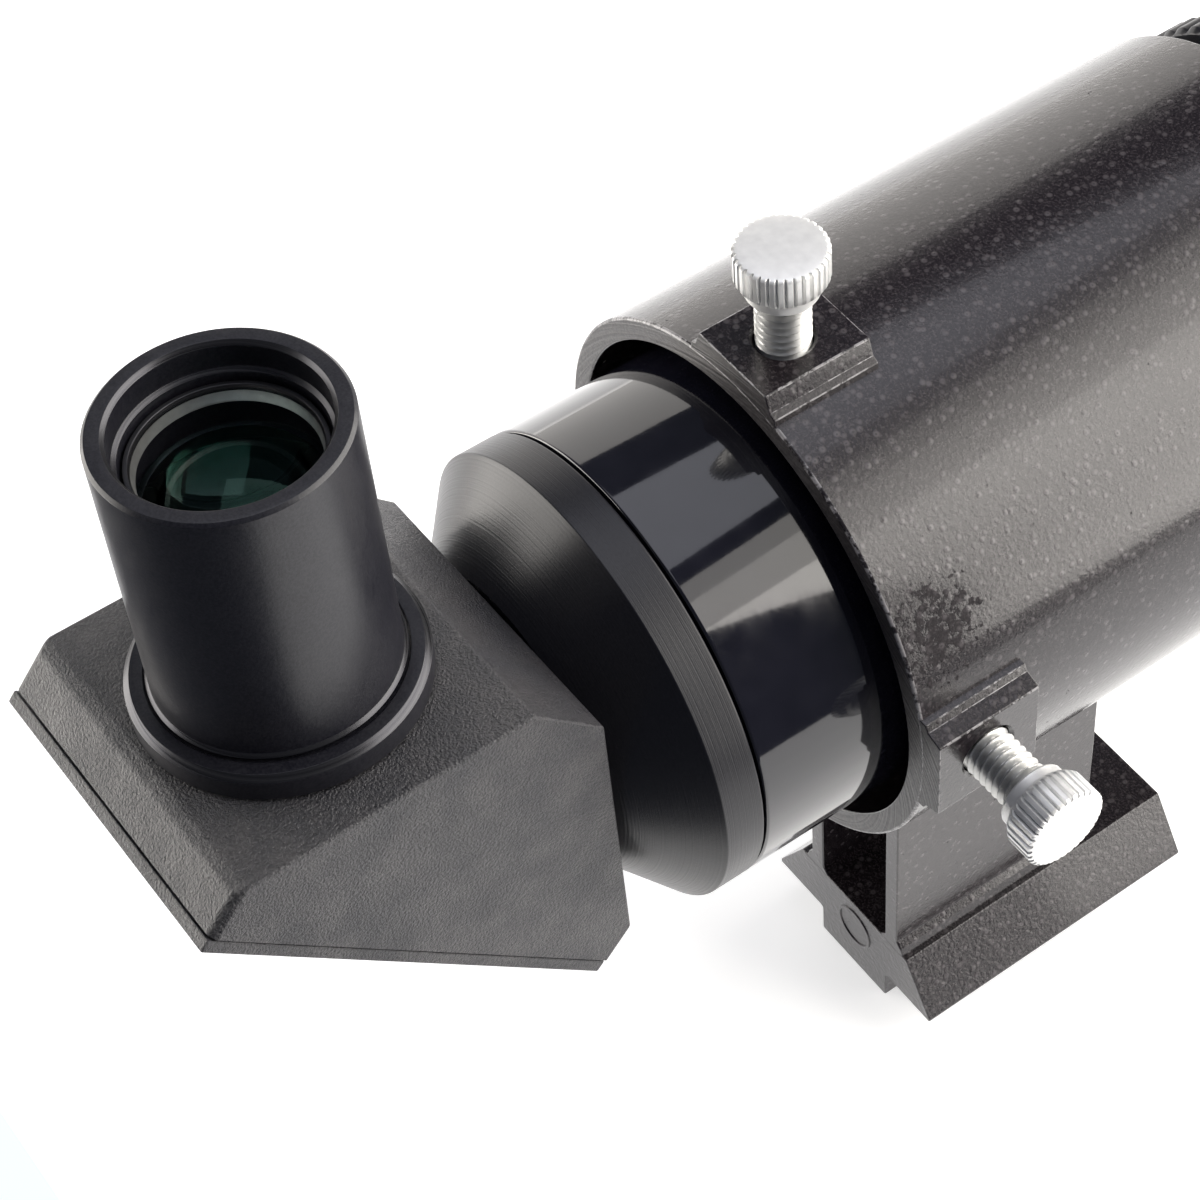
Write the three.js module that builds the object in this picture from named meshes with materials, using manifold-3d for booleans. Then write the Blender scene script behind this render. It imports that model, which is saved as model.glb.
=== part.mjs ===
// Right-angle finder telescope (a small refractor) held in its tip-tilt bracket.
//
// Units are millimetres and +Z is up. The origin is the middle of the flat underside of the
// bracket's dovetail foot. The optical axis runs along Y: +Y is the way the telescope points.
// Everything except the foot is laid out in the "axis frame": the same directions, with its
// own origin on the optical axis at the rear face of the bracket ring.

import * as THREE from 'three';
import { mergeVertices } from 'three/addons/utils/BufferGeometryUtils.js';
import Module from 'manifold-3d';

// ---------------------------------------------------------------- driving dimensions

const GAP = 0.3; // clearance between neighbouring pieces
const THROUGH = 5; // how far a cutting tool runs past the material
const OVERLAP = 2.2; // how deep joined bodies run into each other

const BRACKET = { bore: 29.9, outer: 32.7, length: 75 };
const BOSS = { padHeight: 35.13, padHalfWidth: 5.8, shoulder: 33.1, shoulderDrop: 0.2, shoulderHalfWidth: 6.4,
  baseHalfWidth: 7.4, length: 13.65 };
const STEM = { rear: 15.6, front: 48.4, halfWidth: 9.1, windowHalfWidth: 6.6 };
const FOOT = { rear: 15.6, front: 59.4, top: -79.3, flare: -88, bottom: -93, topHalf: 11.2, flareHalf: 16.3,
  ribHalf: 6.9 };
const AXIS_HEIGHT = -FOOT.bottom;
const FOOT_MIDDLE = (FOOT.rear + FOOT.front) / 2;

const SCREW = { y: 6.8, threadRadius: 3.05, headRadius: 5.12, headTop: 48.2, knurlHeight: 4.6,
  neckRadius: 4.1, neckHeight: 1.6, neckFlare: 0.5, flutes: 20, fluteDepth: 0.35, headBevel: 0.3,
  tipLength: 2.2, tipRadius: 2.4 };
const PLUNGER = { y: 6.8, barrelRadius: 4, barrelTip: 30.5, headRadius: 5.6, headInner: 35.43, headOuter: 45.5,
  wall: 1.2, endWall: 1.5, capThickness: 1.6 };
const PIN = { radius: 1.7, clearance: 1.6, noseRadius: 1, noseLength: 0.9, noseDome: 0.1, shoulderRadius: 2.45,
  shoulderLength: 1.5, tailRadius: 1, tailLength: 2.5 };
const SPRING = { turns: 5, radius: 1.75, wireRadius: 0.35, endGap: 0.7, stepsPerTurn: 10 };

const TUBE = { outer: 27.5, inner: 24.8, rear: -16.95, shoulder: 79.7, front: 93.5, threadRadius: 26.85 };
const O_RING = { y: 68, middleRadius: 28, section: 1.6, grooveHalf: 2.4, grooveFloor: 26.1 };
const BAFFLE = { thickness: 1.4, rearY: 15, rearHole: 15.5, frontY: 55, frontHole: 20.5 };

const LOCK_RING = { rear: 80, front: 85.5, outer: 31.2, flutes: 32, fluteDepth: 0.5, bevel: 0.5 };
const CELL = { rear: 85.8, seatRear: 94.5, seatFront: 96, spigotRear: 104, front: 108, outer: 30.5,
  seatHole: 24.2, pocket: 25.6, spigot: 28.6 };
const LENS = { radius: 25.3, curve: 115, flintRear: 96.3, flintEdge: 101.8, crownRear: 103, crownEdge: 105,
  rimWidth: 1.3, keeperRear: 105.7 };
const DEW_SHIELD = { rear: 104.3, front: 132, inner: 28.9, outer: 30.5, bevel: 0.6 };

const ROLL = THREE.MathUtils.degToRad(-2.1); // the diagonal stands this far from the bracket's upright
const ADAPTER = { front: -17.25, coneStart: -22.1, rear: -30.28, smallRadius: 17.8, spigotFront: -10,
  spigotWall: 1.8, floor: 2, nutThreadRadius: 12.5, bore: 10.8, end: -37 };
const NUT = { radius: 15.3, thickness: 2.6 };

// The housing's side view, as [y, z] corners. Its long sloping side is the line y + z = slope.
const HOUSING_SIDE = [
  [-71.6, 25], [-38.05, 25], [-30.58, 17.4], [-30.58, -17.2], [-35.35, -21.9], [-76.75, 19.5],
];
const HOUSING = { halfWidth: 19.85, top: 25, front: -30.58, slope: -57.24, topChamferSum: -13.05, wall: 2.4,
  sideWall: 3.85, cavityRear: -69.5, cavityLow: -16.5 };
const COVER = { thickness: 1.5, inset: 0.5, middleY: -56.05, screwHalfX: 17.9, screwHalfLength: 24 };
const COVER_SCREW = { length: 6, radius: 0.9, hole: 1.2, holeDepth: 7, headRadius: 1.8, headDepth: 0.6,
  sunk: 0.05, sinkRadius: 2.15, sinkDepth: 0.9 };
const PRISM = { halfWidth: 13.5, half: 13.5, shimHalf: 10 };

const EYEPIECE = { y: -55, flangeRadius: 15.25, flangeTop: 28.5, flangeBevel: 0.6, spigotRadius: 11.95,
  threadRadius: 10.25, outer: 12.65, top: 61.7, rimBevel: 0.4, bore: 10.45, ledge: 58.2, lensBore: 9.9 };
// Heights along the eyepiece, and radii. A curve is a lens face's radius; 0 is flat.
const EYE_STACK = { outer: 9.6, lens: 9.4 };
const EYE_KEEPER = { bottom: 55.6, top: 58, bottomInner: 8.7, topInner: 9.25 };
const EYE_LENSES = [
  { name: 'eye_lens', lowEdge: 50.6, lowCurve: 30, highEdge: 52.2, highCurve: 16 },
  { name: 'eyepiece_middle_lens', lowEdge: 41.9, lowCurve: 40, highEdge: 42.4, highCurve: 26 },
  { name: 'field_lens', lowEdge: 36, lowCurve: 0, highEdge: 36.6, highCurve: 24 },
];
const EYE_RINGS = [
  { name: 'eyepiece_spacer', inner: 8.4, low: 44.9, high: 50.3, look: 'satinBlack' },
  { name: 'field_lens_spacer', inner: 8.4, low: 38.6, high: 41.6, look: 'satinBlack' },
  { name: 'field_stop', inner: 6.5, low: 33.6, high: 34.6, look: 'satinBlack' },
  { name: 'reticle_retaining_ring', inner: 8.3, low: 29.6, high: 31.6, look: 'anodised' },
];
const RETICLE = { low: 31.9, high: 33.3 };

const FINE = 40; // segments round a large turned piece
const MEDIUM = 32; // segments round the eyepiece's inner pieces
const COARSE = 24; // segments round a thin rod
const SMALL = 12; // segments round a small screw
const LENS_STEPS = 3; // rings across a curved lens face

// ---------------------------------------------------------------- materials

function finish(color, roughness, metalness) {
  return new THREE.MeshStandardMaterial({ color, roughness, metalness });
}

const LOOKS = {
  castPaint: finish(0x4a4648, 0.35, 0.2),
  glossBlack: finish(0x08080a, 0.12, 0.1),
  anodised: finish(0x151517, 0.45, 0.6),
  polymer: finish(0x26282c, 0.7, 0),
  satinBlack: finish(0x121214, 0.5, 0.4),
  silver: finish(0xcfd0d2, 0.25, 1),
  glass: finish(0x9fc9b8, 0.05, 0),
  rubber: finish(0x101010, 0.8, 0),
  nylon: finish(0xe8e6df, 0.5, 0),
  foam: finish(0x1b1b1b, 0.95, 0),
};

// ---------------------------------------------------------------- solid helpers

const wasm = await Module();
wasm.setup();

function toSolid(geometry) {
  const bare = geometry.index ? geometry.toNonIndexed() : geometry.clone();
  bare.deleteAttribute('normal');
  bare.deleteAttribute('uv');
  const merged = mergeVertices(bare, 1e-4);
  return new wasm.Manifold(new wasm.Mesh({
    numProp: 3,
    vertProperties: new Float32Array(merged.attributes.position.array),
    triVerts: new Uint32Array(merged.index.array),
  }));
}

function toGeometry(solid) {
  const mesh = solid.getMesh();
  const geometry = new THREE.BufferGeometry();
  geometry.setAttribute('position', new THREE.BufferAttribute(new Float32Array(mesh.vertProperties), 3));
  geometry.setIndex(new THREE.BufferAttribute(new Uint32Array(mesh.triVerts), 1));
  geometry.computeVertexNormals();
  return geometry;
}

function join(geometries) {
  return toGeometry(geometries.map(toSolid).reduce((whole, next) => whole.add(next)));
}

function cut(geometry, tools) {
  return toGeometry(tools.map(toSolid).reduce((whole, tool) => whole.subtract(tool), toSolid(geometry)));
}

function intersect(first, second) {
  return toGeometry(toSolid(first).intersect(toSolid(second)));
}

// A ring or disc turned about the local Y axis from a closed outline of [radius, y] corners.
function turned(outline, segments = FINE) {
  const closed = [...outline, outline[0]];
  return new THREE.LatheGeometry(closed.map(([r, y]) => new THREE.Vector2(r, y)), segments);
}

// A solid of revolution whose outline starts and ends on the axis.
function turnedSolid(outline, segments = FINE) {
  return new THREE.LatheGeometry(outline.map(([r, y]) => new THREE.Vector2(r, y)), segments);
}

function tube(inner, outer, start, end, segments = FINE) {
  return turned([[inner, start], [outer, start], [outer, end], [inner, end]], segments);
}

function rod(radius, start, end, segments = COARSE) {
  return turnedSolid([[0, start], [radius, start], [radius, end], [0, end]], segments);
}

// An outline of [x, z] corners pushed along +Y from start to end.
function extrudedAlongY(corners, start, end) {
  const shape = new THREE.Shape(corners.map(([x, z]) => new THREE.Vector2(x, z)));
  const geometry = new THREE.ExtrudeGeometry(shape, { depth: end - start, bevelEnabled: false });
  geometry.rotateX(Math.PI / 2);
  geometry.translate(0, end, 0);
  return geometry;
}

// An outline of [y, z] corners pushed along X, centred on the YZ plane.
function extrudedAlongX(corners, halfWidth) {
  const shape = new THREE.Shape(corners.map(([y, z]) => new THREE.Vector2(y, z)));
  const geometry = new THREE.ExtrudeGeometry(shape, { depth: 2 * halfWidth, bevelEnabled: false });
  geometry.translate(0, 0, -halfWidth);
  geometry.applyMatrix4(new THREE.Matrix4().makeBasis(
    new THREE.Vector3(0, 1, 0), new THREE.Vector3(0, 0, 1), new THREE.Vector3(1, 0, 0)));
  return geometry;
}

function mesh(name, geometry, look) {
  const piece = new THREE.Mesh(geometry, LOOKS[look]);
  piece.name = name;
  return piece;
}

function group(pieces) {
  const holder = new THREE.Group();
  holder.add(...pieces);
  return holder;
}

// A group whose local Y axis points radially out from the optical axis. Angle 0 is up (+Z),
// and it grows towards +X.
function radialGroup(pieces, angle, y) {
  const holder = group(pieces);
  holder.position.y = y;
  holder.quaternion.setFromUnitVectors(
    new THREE.Vector3(0, 1, 0), new THREE.Vector3(Math.sin(angle), 0, Math.cos(angle)));
  return holder;
}

const TOP = 0;
const SIDE = Math.PI / 2;
const OPPOSITE = -3 * Math.PI / 4; // facing away from both thumbscrews

// ---------------------------------------------------------------- bracket

function bossGeometry(angle) {
  const outline = [
    [-BOSS.baseHalfWidth, BRACKET.outer - OVERLAP], [BOSS.baseHalfWidth, BRACKET.outer - OVERLAP],
    [BOSS.shoulderHalfWidth, BOSS.shoulder - BOSS.shoulderDrop], [BOSS.padHalfWidth, BOSS.shoulder],
    [BOSS.padHalfWidth, BOSS.padHeight], [-BOSS.padHalfWidth, BOSS.padHeight],
    [-BOSS.padHalfWidth, BOSS.shoulder], [-BOSS.shoulderHalfWidth, BOSS.shoulder - BOSS.shoulderDrop],
  ];
  return extrudedAlongY(outline, 0, BOSS.length).rotateY(angle);
}

function radialHole(radius, angle, y) {
  const hole = rod(radius, BRACKET.bore - THROUGH, BOSS.padHeight + THROUGH);
  hole.rotateX(Math.PI / 2);
  hole.rotateY(angle);
  hole.translate(0, y, 0);
  return hole;
}

function bracketCasting() {
  const ring = tube(BRACKET.bore, BRACKET.outer, 0, BRACKET.length);
  const stemTop = THROUGH - BRACKET.bore;
  const stem = extrudedAlongY([
    [-STEM.halfWidth, FOOT.top - OVERLAP], [STEM.halfWidth, FOOT.top - OVERLAP],
    [STEM.halfWidth, stemTop], [-STEM.halfWidth, stemTop],
  ], STEM.rear, STEM.front);
  const window = extrudedAlongY([
    [-STEM.windowHalfWidth, FOOT.top], [STEM.windowHalfWidth, FOOT.top],
    [STEM.windowHalfWidth, stemTop + THROUGH], [-STEM.windowHalfWidth, stemTop + THROUGH],
  ], STEM.rear - THROUGH, STEM.front + THROUGH);
  const foot = extrudedAlongY([
    [-FOOT.topHalf, FOOT.top], [-FOOT.flareHalf, FOOT.flare], [-FOOT.ribHalf, FOOT.flare],
    [-FOOT.ribHalf, FOOT.bottom], [FOOT.ribHalf, FOOT.bottom], [FOOT.ribHalf, FOOT.flare],
    [FOOT.flareHalf, FOOT.flare], [FOOT.topHalf, FOOT.top],
  ], FOOT.rear, FOOT.front);
  const bosses = [TOP, SIDE, OPPOSITE].map(bossGeometry);
  const body = join([ring, cut(stem, [window]), foot, ...bosses]);
  const bore = rod(BRACKET.bore, -THROUGH, BRACKET.length + THROUGH, FINE);
  const screwHoles = [TOP, SIDE].map((angle) => radialHole(SCREW.threadRadius + GAP, angle, SCREW.y));
  const plungerHole = radialHole(PLUNGER.barrelRadius + GAP, OPPOSITE, PLUNGER.y);
  return mesh('bracket_casting', cut(body, [bore, ...screwHoles, plungerHole]), 'castPaint');
}

// A fluted disc standing on the local XZ plane, from start to end along Y.
function knurledDisc({ flutes, fluteDepth }, start, end, radius, bevel) {
  const points = Array.from({ length: 2 * flutes }, (_, step) => {
    const angle = (step * Math.PI) / flutes;
    const reach = radius - bevel - (step % 2) * fluteDepth;
    return new THREE.Vector2(reach * Math.cos(angle), reach * Math.sin(angle));
  });
  const shape = new THREE.Shape(points);
  const geometry = new THREE.ExtrudeGeometry(shape, {
    depth: end - start - 2 * bevel, bevelThickness: bevel, bevelSize: bevel, bevelSegments: 1,
  });
  geometry.rotateX(-Math.PI / 2);
  geometry.translate(0, start + bevel, 0);
  return geometry;
}

function thumbscrew(name, angle) {
  const tipStart = TUBE.outer + GAP;
  const tipEnd = tipStart + SCREW.tipLength;
  const knurlStart = SCREW.headTop - SCREW.knurlHeight;
  const neckStart = knurlStart - SCREW.neckHeight;
  const shank = turnedSolid([
    [0, tipEnd + GAP], [SCREW.threadRadius, tipEnd + GAP],
    [SCREW.threadRadius, neckStart], [SCREW.neckRadius, neckStart],
    [SCREW.neckRadius + SCREW.neckFlare, knurlStart + SCREW.neckFlare], [0, knurlStart + SCREW.neckFlare],
  ]);
  const head = knurledDisc(SCREW, knurlStart, SCREW.headTop, SCREW.headRadius, SCREW.headBevel);
  const screw = mesh(`${name}_thumbscrew`, join([shank, head]), 'silver');
  const tip = mesh(`${name}_screw_tip`, rod(SCREW.tipRadius, tipStart, tipEnd), 'nylon');
  return radialGroup([screw, tip], angle, SCREW.y);
}

// The screwed-in barrel guides the pin; the spring sits behind the pin's shoulder.
function plunger() {
  const pinTip = TUBE.outer + PIN.clearance;
  const cavity = PLUNGER.barrelRadius - PLUNGER.wall;
  const guide = PIN.radius + GAP;
  const cavityStart = PLUNGER.barrelTip + PLUNGER.endWall;
  const shoulderStart = cavityStart + GAP;
  const shoulderEnd = shoulderStart + PIN.shoulderLength;
  const capStart = PLUNGER.headOuter - PLUNGER.capThickness;
  const barrel = turned([
    [guide, PLUNGER.barrelTip], [PLUNGER.barrelRadius, PLUNGER.barrelTip],
    [PLUNGER.barrelRadius, PLUNGER.headInner], [PLUNGER.headRadius, PLUNGER.headInner],
    [PLUNGER.headRadius, capStart - GAP], [cavity, capStart - GAP], [cavity, cavityStart], [guide, cavityStart],
  ], COARSE);
  const pin = turnedSolid([
    [0, pinTip], [PIN.noseRadius, pinTip + PIN.noseDome], [PIN.radius, pinTip + PIN.noseLength],
    [PIN.radius, shoulderStart], [PIN.shoulderRadius, shoulderStart], [PIN.shoulderRadius, shoulderEnd],
    [PIN.tailRadius, shoulderEnd], [PIN.tailRadius, shoulderEnd + PIN.tailLength],
    [0, shoulderEnd + PIN.tailLength],
  ], COARSE);
  const cap = rod(PLUNGER.headRadius, capStart, PLUNGER.headOuter);
  const spring = springGeometry(shoulderEnd + SPRING.endGap, capStart - SPRING.endGap);
  return radialGroup([
    mesh('plunger_barrel', barrel, 'silver'),
    mesh('plunger_pin', pin, 'silver'),
    mesh('plunger_spring', spring, 'silver'),
    mesh('plunger_end_cap', cap, 'silver'),
  ], OPPOSITE, PLUNGER.y);
}

class Helix extends THREE.Curve {
  constructor(start, end) {
    super();
    Object.assign(this, { start, end });
  }

  getPoint(t) {
    const angle = 2 * Math.PI * SPRING.turns * t;
    const height = this.start + (this.end - this.start) * t;
    return new THREE.Vector3(SPRING.radius * Math.cos(angle), height, SPRING.radius * Math.sin(angle));
  }
}

function springGeometry(start, end) {
  const wire = new THREE.Shape();
  wire.absarc(0, 0, SPRING.wireRadius, 0, 2 * Math.PI);
  const steps = SPRING.stepsPerTurn * SPRING.turns;
  const extrudePath = new Helix(start, end);
  return new THREE.ExtrudeGeometry(wire, { extrudePath, steps, curveSegments: 3, bevelEnabled: false });
}

// ---------------------------------------------------------------- main tube and objective

function oRing() {
  const ring = new THREE.TorusGeometry(O_RING.middleRadius, O_RING.section, 8, FINE);
  ring.rotateX(Math.PI / 2);
  ring.translate(0, O_RING.y, 0);
  return mesh('pivot_o_ring', ring, 'rubber');
}

function mainTube() {
  const outline = [
    [TUBE.inner, TUBE.rear], [TUBE.outer, TUBE.rear],
    [TUBE.outer, O_RING.y - O_RING.grooveHalf], [O_RING.grooveFloor, O_RING.y - O_RING.grooveHalf],
    [O_RING.grooveFloor, O_RING.y + O_RING.grooveHalf], [TUBE.outer, O_RING.y + O_RING.grooveHalf],
    [TUBE.outer, TUBE.shoulder], [TUBE.threadRadius, TUBE.shoulder],
    [TUBE.threadRadius, TUBE.front], [TUBE.inner, TUBE.front],
  ];
  return mesh('main_tube', turned(outline), 'glossBlack');
}

function baffle(name, y, hole) {
  const outer = TUBE.inner - GAP;
  return mesh(name, tube(hole, outer, y, y + BAFFLE.thickness), 'satinBlack');
}

function focusLockRing() {
  const disc = knurledDisc(LOCK_RING, LOCK_RING.rear, LOCK_RING.front, LOCK_RING.outer, LOCK_RING.bevel);
  const hole = rod(TUBE.threadRadius + GAP, LOCK_RING.rear - THROUGH, LOCK_RING.front + THROUGH, FINE);
  return mesh('focus_lock_ring', cut(disc, [hole]), 'anodised');
}

function objectiveCell() {
  const outline = [
    [TUBE.threadRadius + GAP, CELL.rear], [CELL.outer, CELL.rear], [CELL.outer, CELL.spigotRear],
    [CELL.spigot, CELL.spigotRear], [CELL.spigot, CELL.front], [CELL.pocket, CELL.front],
    [CELL.pocket, CELL.seatFront], [CELL.seatHole, CELL.seatFront], [CELL.seatHole, CELL.seatRear],
    [TUBE.threadRadius + GAP, CELL.seatRear],
  ];
  return mesh('objective_cell', turned(outline), 'anodised');
}

// Points [radius, y] of a lens face from the axis outwards; bulge is +1 for a face whose middle
// stands towards +Y of its edge, -1 for the other way and 0 for a flat one.
function lensFace(edgeRadius, edgeY, curve, bulge) {
  if (bulge === 0) {
    return [[0, edgeY], [edgeRadius, edgeY]];
  }
  const sag = (r) => curve - Math.sqrt(curve * curve - r * r);
  return Array.from({ length: LENS_STEPS + 1 }, (_, step) => {
    const r = (edgeRadius * step) / LENS_STEPS;
    return [r, edgeY + bulge * (sag(edgeRadius) - sag(r))];
  });
}

function lens(name, rearFace, frontFace, segments = FINE) {
  return mesh(name, turnedSolid([...rearFace, ...frontFace.reverse()], segments), 'glass');
}

function objectiveLenses() {
  const rim = LENS.radius - LENS.rimWidth;
  const flintFront = lensFace(LENS.radius, LENS.flintEdge, LENS.curve, -1);
  const crownRear = lensFace(LENS.radius, LENS.crownRear, LENS.curve, -1);
  const crownFront = lensFace(LENS.radius, LENS.crownEdge, LENS.curve, 1);
  const spacer = tube(rim, LENS.radius, LENS.flintEdge + GAP, LENS.crownRear - GAP);
  const keeper = tube(rim, LENS.radius, LENS.keeperRear, CELL.front - GAP);
  return [
    lens('objective_flint_lens', lensFace(LENS.radius, LENS.flintRear, 0, 0), flintFront),
    mesh('objective_spacer', spacer, 'silver'),
    lens('objective_crown_lens', crownRear, crownFront),
    mesh('objective_retaining_ring', keeper, 'anodised'),
  ];
}

function dewShield() {
  const outline = [
    [DEW_SHIELD.inner, DEW_SHIELD.rear], [DEW_SHIELD.outer, DEW_SHIELD.rear],
    [DEW_SHIELD.outer, DEW_SHIELD.front - DEW_SHIELD.bevel],
    [DEW_SHIELD.outer - DEW_SHIELD.bevel, DEW_SHIELD.front], [DEW_SHIELD.inner, DEW_SHIELD.front],
  ];
  return mesh('dew_shield', turned(outline), 'glossBlack');
}

// ---------------------------------------------------------------- right-angle diagonal

function diagonalAdapter() {
  const spigot = TUBE.inner - GAP;
  const outline = [
    [ADAPTER.bore, ADAPTER.end], [ADAPTER.nutThreadRadius, ADAPTER.end],
    [ADAPTER.nutThreadRadius, ADAPTER.rear], [ADAPTER.smallRadius, ADAPTER.rear],
    [TUBE.outer, ADAPTER.coneStart], [TUBE.outer, ADAPTER.front], [spigot, ADAPTER.front],
    [spigot, ADAPTER.spigotFront], [spigot - ADAPTER.spigotWall, ADAPTER.spigotFront],
    [spigot - ADAPTER.spigotWall, ADAPTER.coneStart], [ADAPTER.bore, ADAPTER.rear + ADAPTER.floor],
  ];
  return mesh('diagonal_adapter', turned(outline), 'anodised');
}

function adapterLockNut() {
  const start = HOUSING.front - HOUSING.wall - GAP;
  const nut = tube(ADAPTER.nutThreadRadius + GAP, NUT.radius, start - NUT.thickness, start);
  return mesh('adapter_lock_nut', nut, 'silver');
}

const FAR = 120; // well past the housing on every side

// The sloping line y + z = HOUSING.slope, moved inwards by a distance square to it.
function slopeSum(inward) {
  return HOUSING.slope + inward * Math.SQRT2;
}

function halfPlaneBeyondSlope(sum) {
  return extrudedAlongX([[sum - FAR, FAR], [sum + FAR, -FAR], [-FAR, -FAR]], FAR);
}

// Turns a piece so that its own +Y points out through the sloping cover, and moves it there.
function placedOnSlope(geometry, x, along) {
  const step = along / Math.SQRT2;
  const y = COVER.middleY - step;
  geometry.rotateX((Math.PI * 5) / 4);
  geometry.translate(x, y, HOUSING.slope - y);
  return geometry;
}

function coverScrewPlaces() {
  const places = [];
  for (const x of [-COVER.screwHalfX, COVER.screwHalfX]) {
    for (const along of [-COVER.screwHalfLength, COVER.screwHalfLength]) {
      places.push([x, along]);
    }
  }
  return places;
}

function prismHousing() {
  const outer = extrudedAlongX(HOUSING_SIDE, HOUSING.halfWidth);
  const ceiling = HOUSING.top - HOUSING.wall;
  const frontWall = HOUSING.front - HOUSING.wall;
  const outside = slopeSum(-3);
  const lowReach = (outside - frontWall - HOUSING.cavityLow) / 2;
  const chamferSum = HOUSING.topChamferSum - HOUSING.wall * Math.SQRT2;
  const cavity = extrudedAlongX([
    [chamferSum - ceiling, ceiling], [HOUSING.cavityRear, ceiling],
    [HOUSING.cavityRear, outside - HOUSING.cavityRear],
    [frontWall + lowReach, HOUSING.cavityLow + lowReach], [frontWall, HOUSING.cavityLow],
    [frontWall, chamferSum - frontWall],
  ], HOUSING.halfWidth - HOUSING.sideWall);
  const adapterHole = rod(ADAPTER.nutThreadRadius + GAP, frontWall - THROUGH, HOUSING.front + THROUGH, FINE);
  const eyepieceHole = rod(EYEPIECE.spigotRadius + GAP, ceiling - THROUGH, HOUSING.top + THROUGH, FINE);
  eyepieceHole.rotateX(Math.PI / 2);
  eyepieceHole.translate(0, EYEPIECE.y, 0);
  const screwHoles = coverScrewPlaces().map(([x, along]) => (
    placedOnSlope(rod(COVER_SCREW.hole, -COVER_SCREW.holeDepth, THROUGH, SMALL), x, along)
  ));
  const lid = halfPlaneBeyondSlope(slopeSum(COVER.thickness + GAP));
  return mesh('prism_housing', cut(outer, [lid, cavity, adapterHole, eyepieceHole, ...screwHoles]), 'polymer');
}

function prismCoverPlate() {
  const outer = extrudedAlongX(HOUSING_SIDE, HOUSING.halfWidth - COVER.inset);
  const inner = halfPlaneBeyondSlope(slopeSum(COVER.thickness));
  const plate = intersect(outer, inner);
  const { hole, sinkRadius, sinkDepth } = COVER_SCREW;
  const countersinks = coverScrewPlaces().map(([x, along]) => placedOnSlope(turnedSolid([
    [0, -THROUGH], [hole, -THROUGH], [hole, -sinkDepth], [sinkRadius, -sinkDepth], [sinkRadius, THROUGH],
    [0, THROUGH],
  ], SMALL), x, along));
  return mesh('prism_cover_plate', cut(plate, countersinks), 'polymer');
}

function coverScrews() {
  const { length, radius, headRadius, headDepth, sunk } = COVER_SCREW;
  return coverScrewPlaces().map(([x, along], index) => {
    const screw = turnedSolid([
      [0, -length], [radius, -length], [radius, -headDepth], [headRadius, -headDepth], [headRadius, -sunk],
      [0, -sunk],
    ], SMALL);
    return mesh(`cover_screw_${index + 1}`, placedOnSlope(screw, x, along), 'silver');
  });
}

// Roof prism: the light enters the front face, turns at the roof and leaves through the top.
function amiciPrism() {
  const sum = slopeSum(COVER.thickness + GAP);
  const front = sum + PRISM.half;
  const block = extrudedAlongX([[front, -PRISM.half], [front, PRISM.half], [sum - PRISM.half, PRISM.half]],
    PRISM.halfWidth);
  const roof = extrudedAlongY([[0, 0], [FAR, FAR], [-FAR, FAR]], -FAR, FAR);
  roof.rotateX(Math.PI / 4);
  roof.translate(0, sum / 2, sum / 2);
  return mesh('amici_prism', intersect(block, roof), 'glass');
}

function prismShim(name, side) {
  const sum = slopeSum(COVER.thickness + GAP) + PRISM.half - PRISM.shimHalf;
  const half = PRISM.shimHalf;
  const halfThickness = (HOUSING.halfWidth - HOUSING.sideWall - PRISM.halfWidth) / 2 - GAP;
  const shim = extrudedAlongX([[sum + half, -half], [sum + half, half], [sum - half, half]], halfThickness);
  shim.translate(side * (PRISM.halfWidth + GAP + halfThickness), 0, 0);
  return mesh(name, shim, 'foam');
}

// ---------------------------------------------------------------- eyepiece

function eyepieceFlange() {
  const bottom = HOUSING.top - HOUSING.wall;
  const seat = HOUSING.top + GAP;
  const outline = [
    [EYEPIECE.threadRadius, bottom], [EYEPIECE.spigotRadius, bottom], [EYEPIECE.spigotRadius, seat],
    [EYEPIECE.flangeRadius, seat], [EYEPIECE.flangeRadius, EYEPIECE.flangeTop - EYEPIECE.flangeBevel],
    [EYEPIECE.flangeRadius - EYEPIECE.flangeBevel, EYEPIECE.flangeTop],
    [EYEPIECE.threadRadius, EYEPIECE.flangeTop],
  ];
  return mesh('eyepiece_flange', turned(outline), 'satinBlack');
}

function eyepieceBarrel() {
  const { lensBore, bore, outer, ledge, top, rimBevel } = EYEPIECE;
  const bottom = EYEPIECE.flangeTop + GAP;
  const outline = [
    [lensBore, bottom], [outer, bottom], [outer, top - rimBevel], [outer - rimBevel, top],
    [bore + rimBevel, top], [bore, top - rimBevel], [bore, ledge], [lensBore, ledge],
  ];
  return mesh('eyepiece_barrel', turned(outline), 'satinBlack');
}

// The stack of lenses, rings and the reticle inside the barrel.
function eyepieceOptics() {
  const keeper = turned([
    [EYE_KEEPER.bottomInner, EYE_KEEPER.bottom], [EYE_STACK.outer, EYE_KEEPER.bottom],
    [EYE_STACK.outer, EYE_KEEPER.top], [EYE_KEEPER.topInner, EYE_KEEPER.top],
  ]);
  const lenses = EYE_LENSES.map(({ name, lowEdge, lowCurve, highEdge, highCurve }) => lens(
    name,
    lensFace(EYE_STACK.lens, lowEdge, lowCurve, lowCurve ? -1 : 0),
    lensFace(EYE_STACK.lens, highEdge, highCurve, 1),
    MEDIUM,
  ));
  const rings = EYE_RINGS.map(({ name, inner, low, high, look }) => (
    mesh(name, tube(inner, EYE_STACK.outer, low, high, MEDIUM), look)
  ));
  const reticle = rod(EYE_STACK.outer, RETICLE.low, RETICLE.high, MEDIUM);
  return [
    mesh('eye_lens_retaining_ring', keeper, 'silver'), ...lenses, ...rings,
    mesh('crosshair_reticle', reticle, 'glass'),
  ];
}

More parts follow.
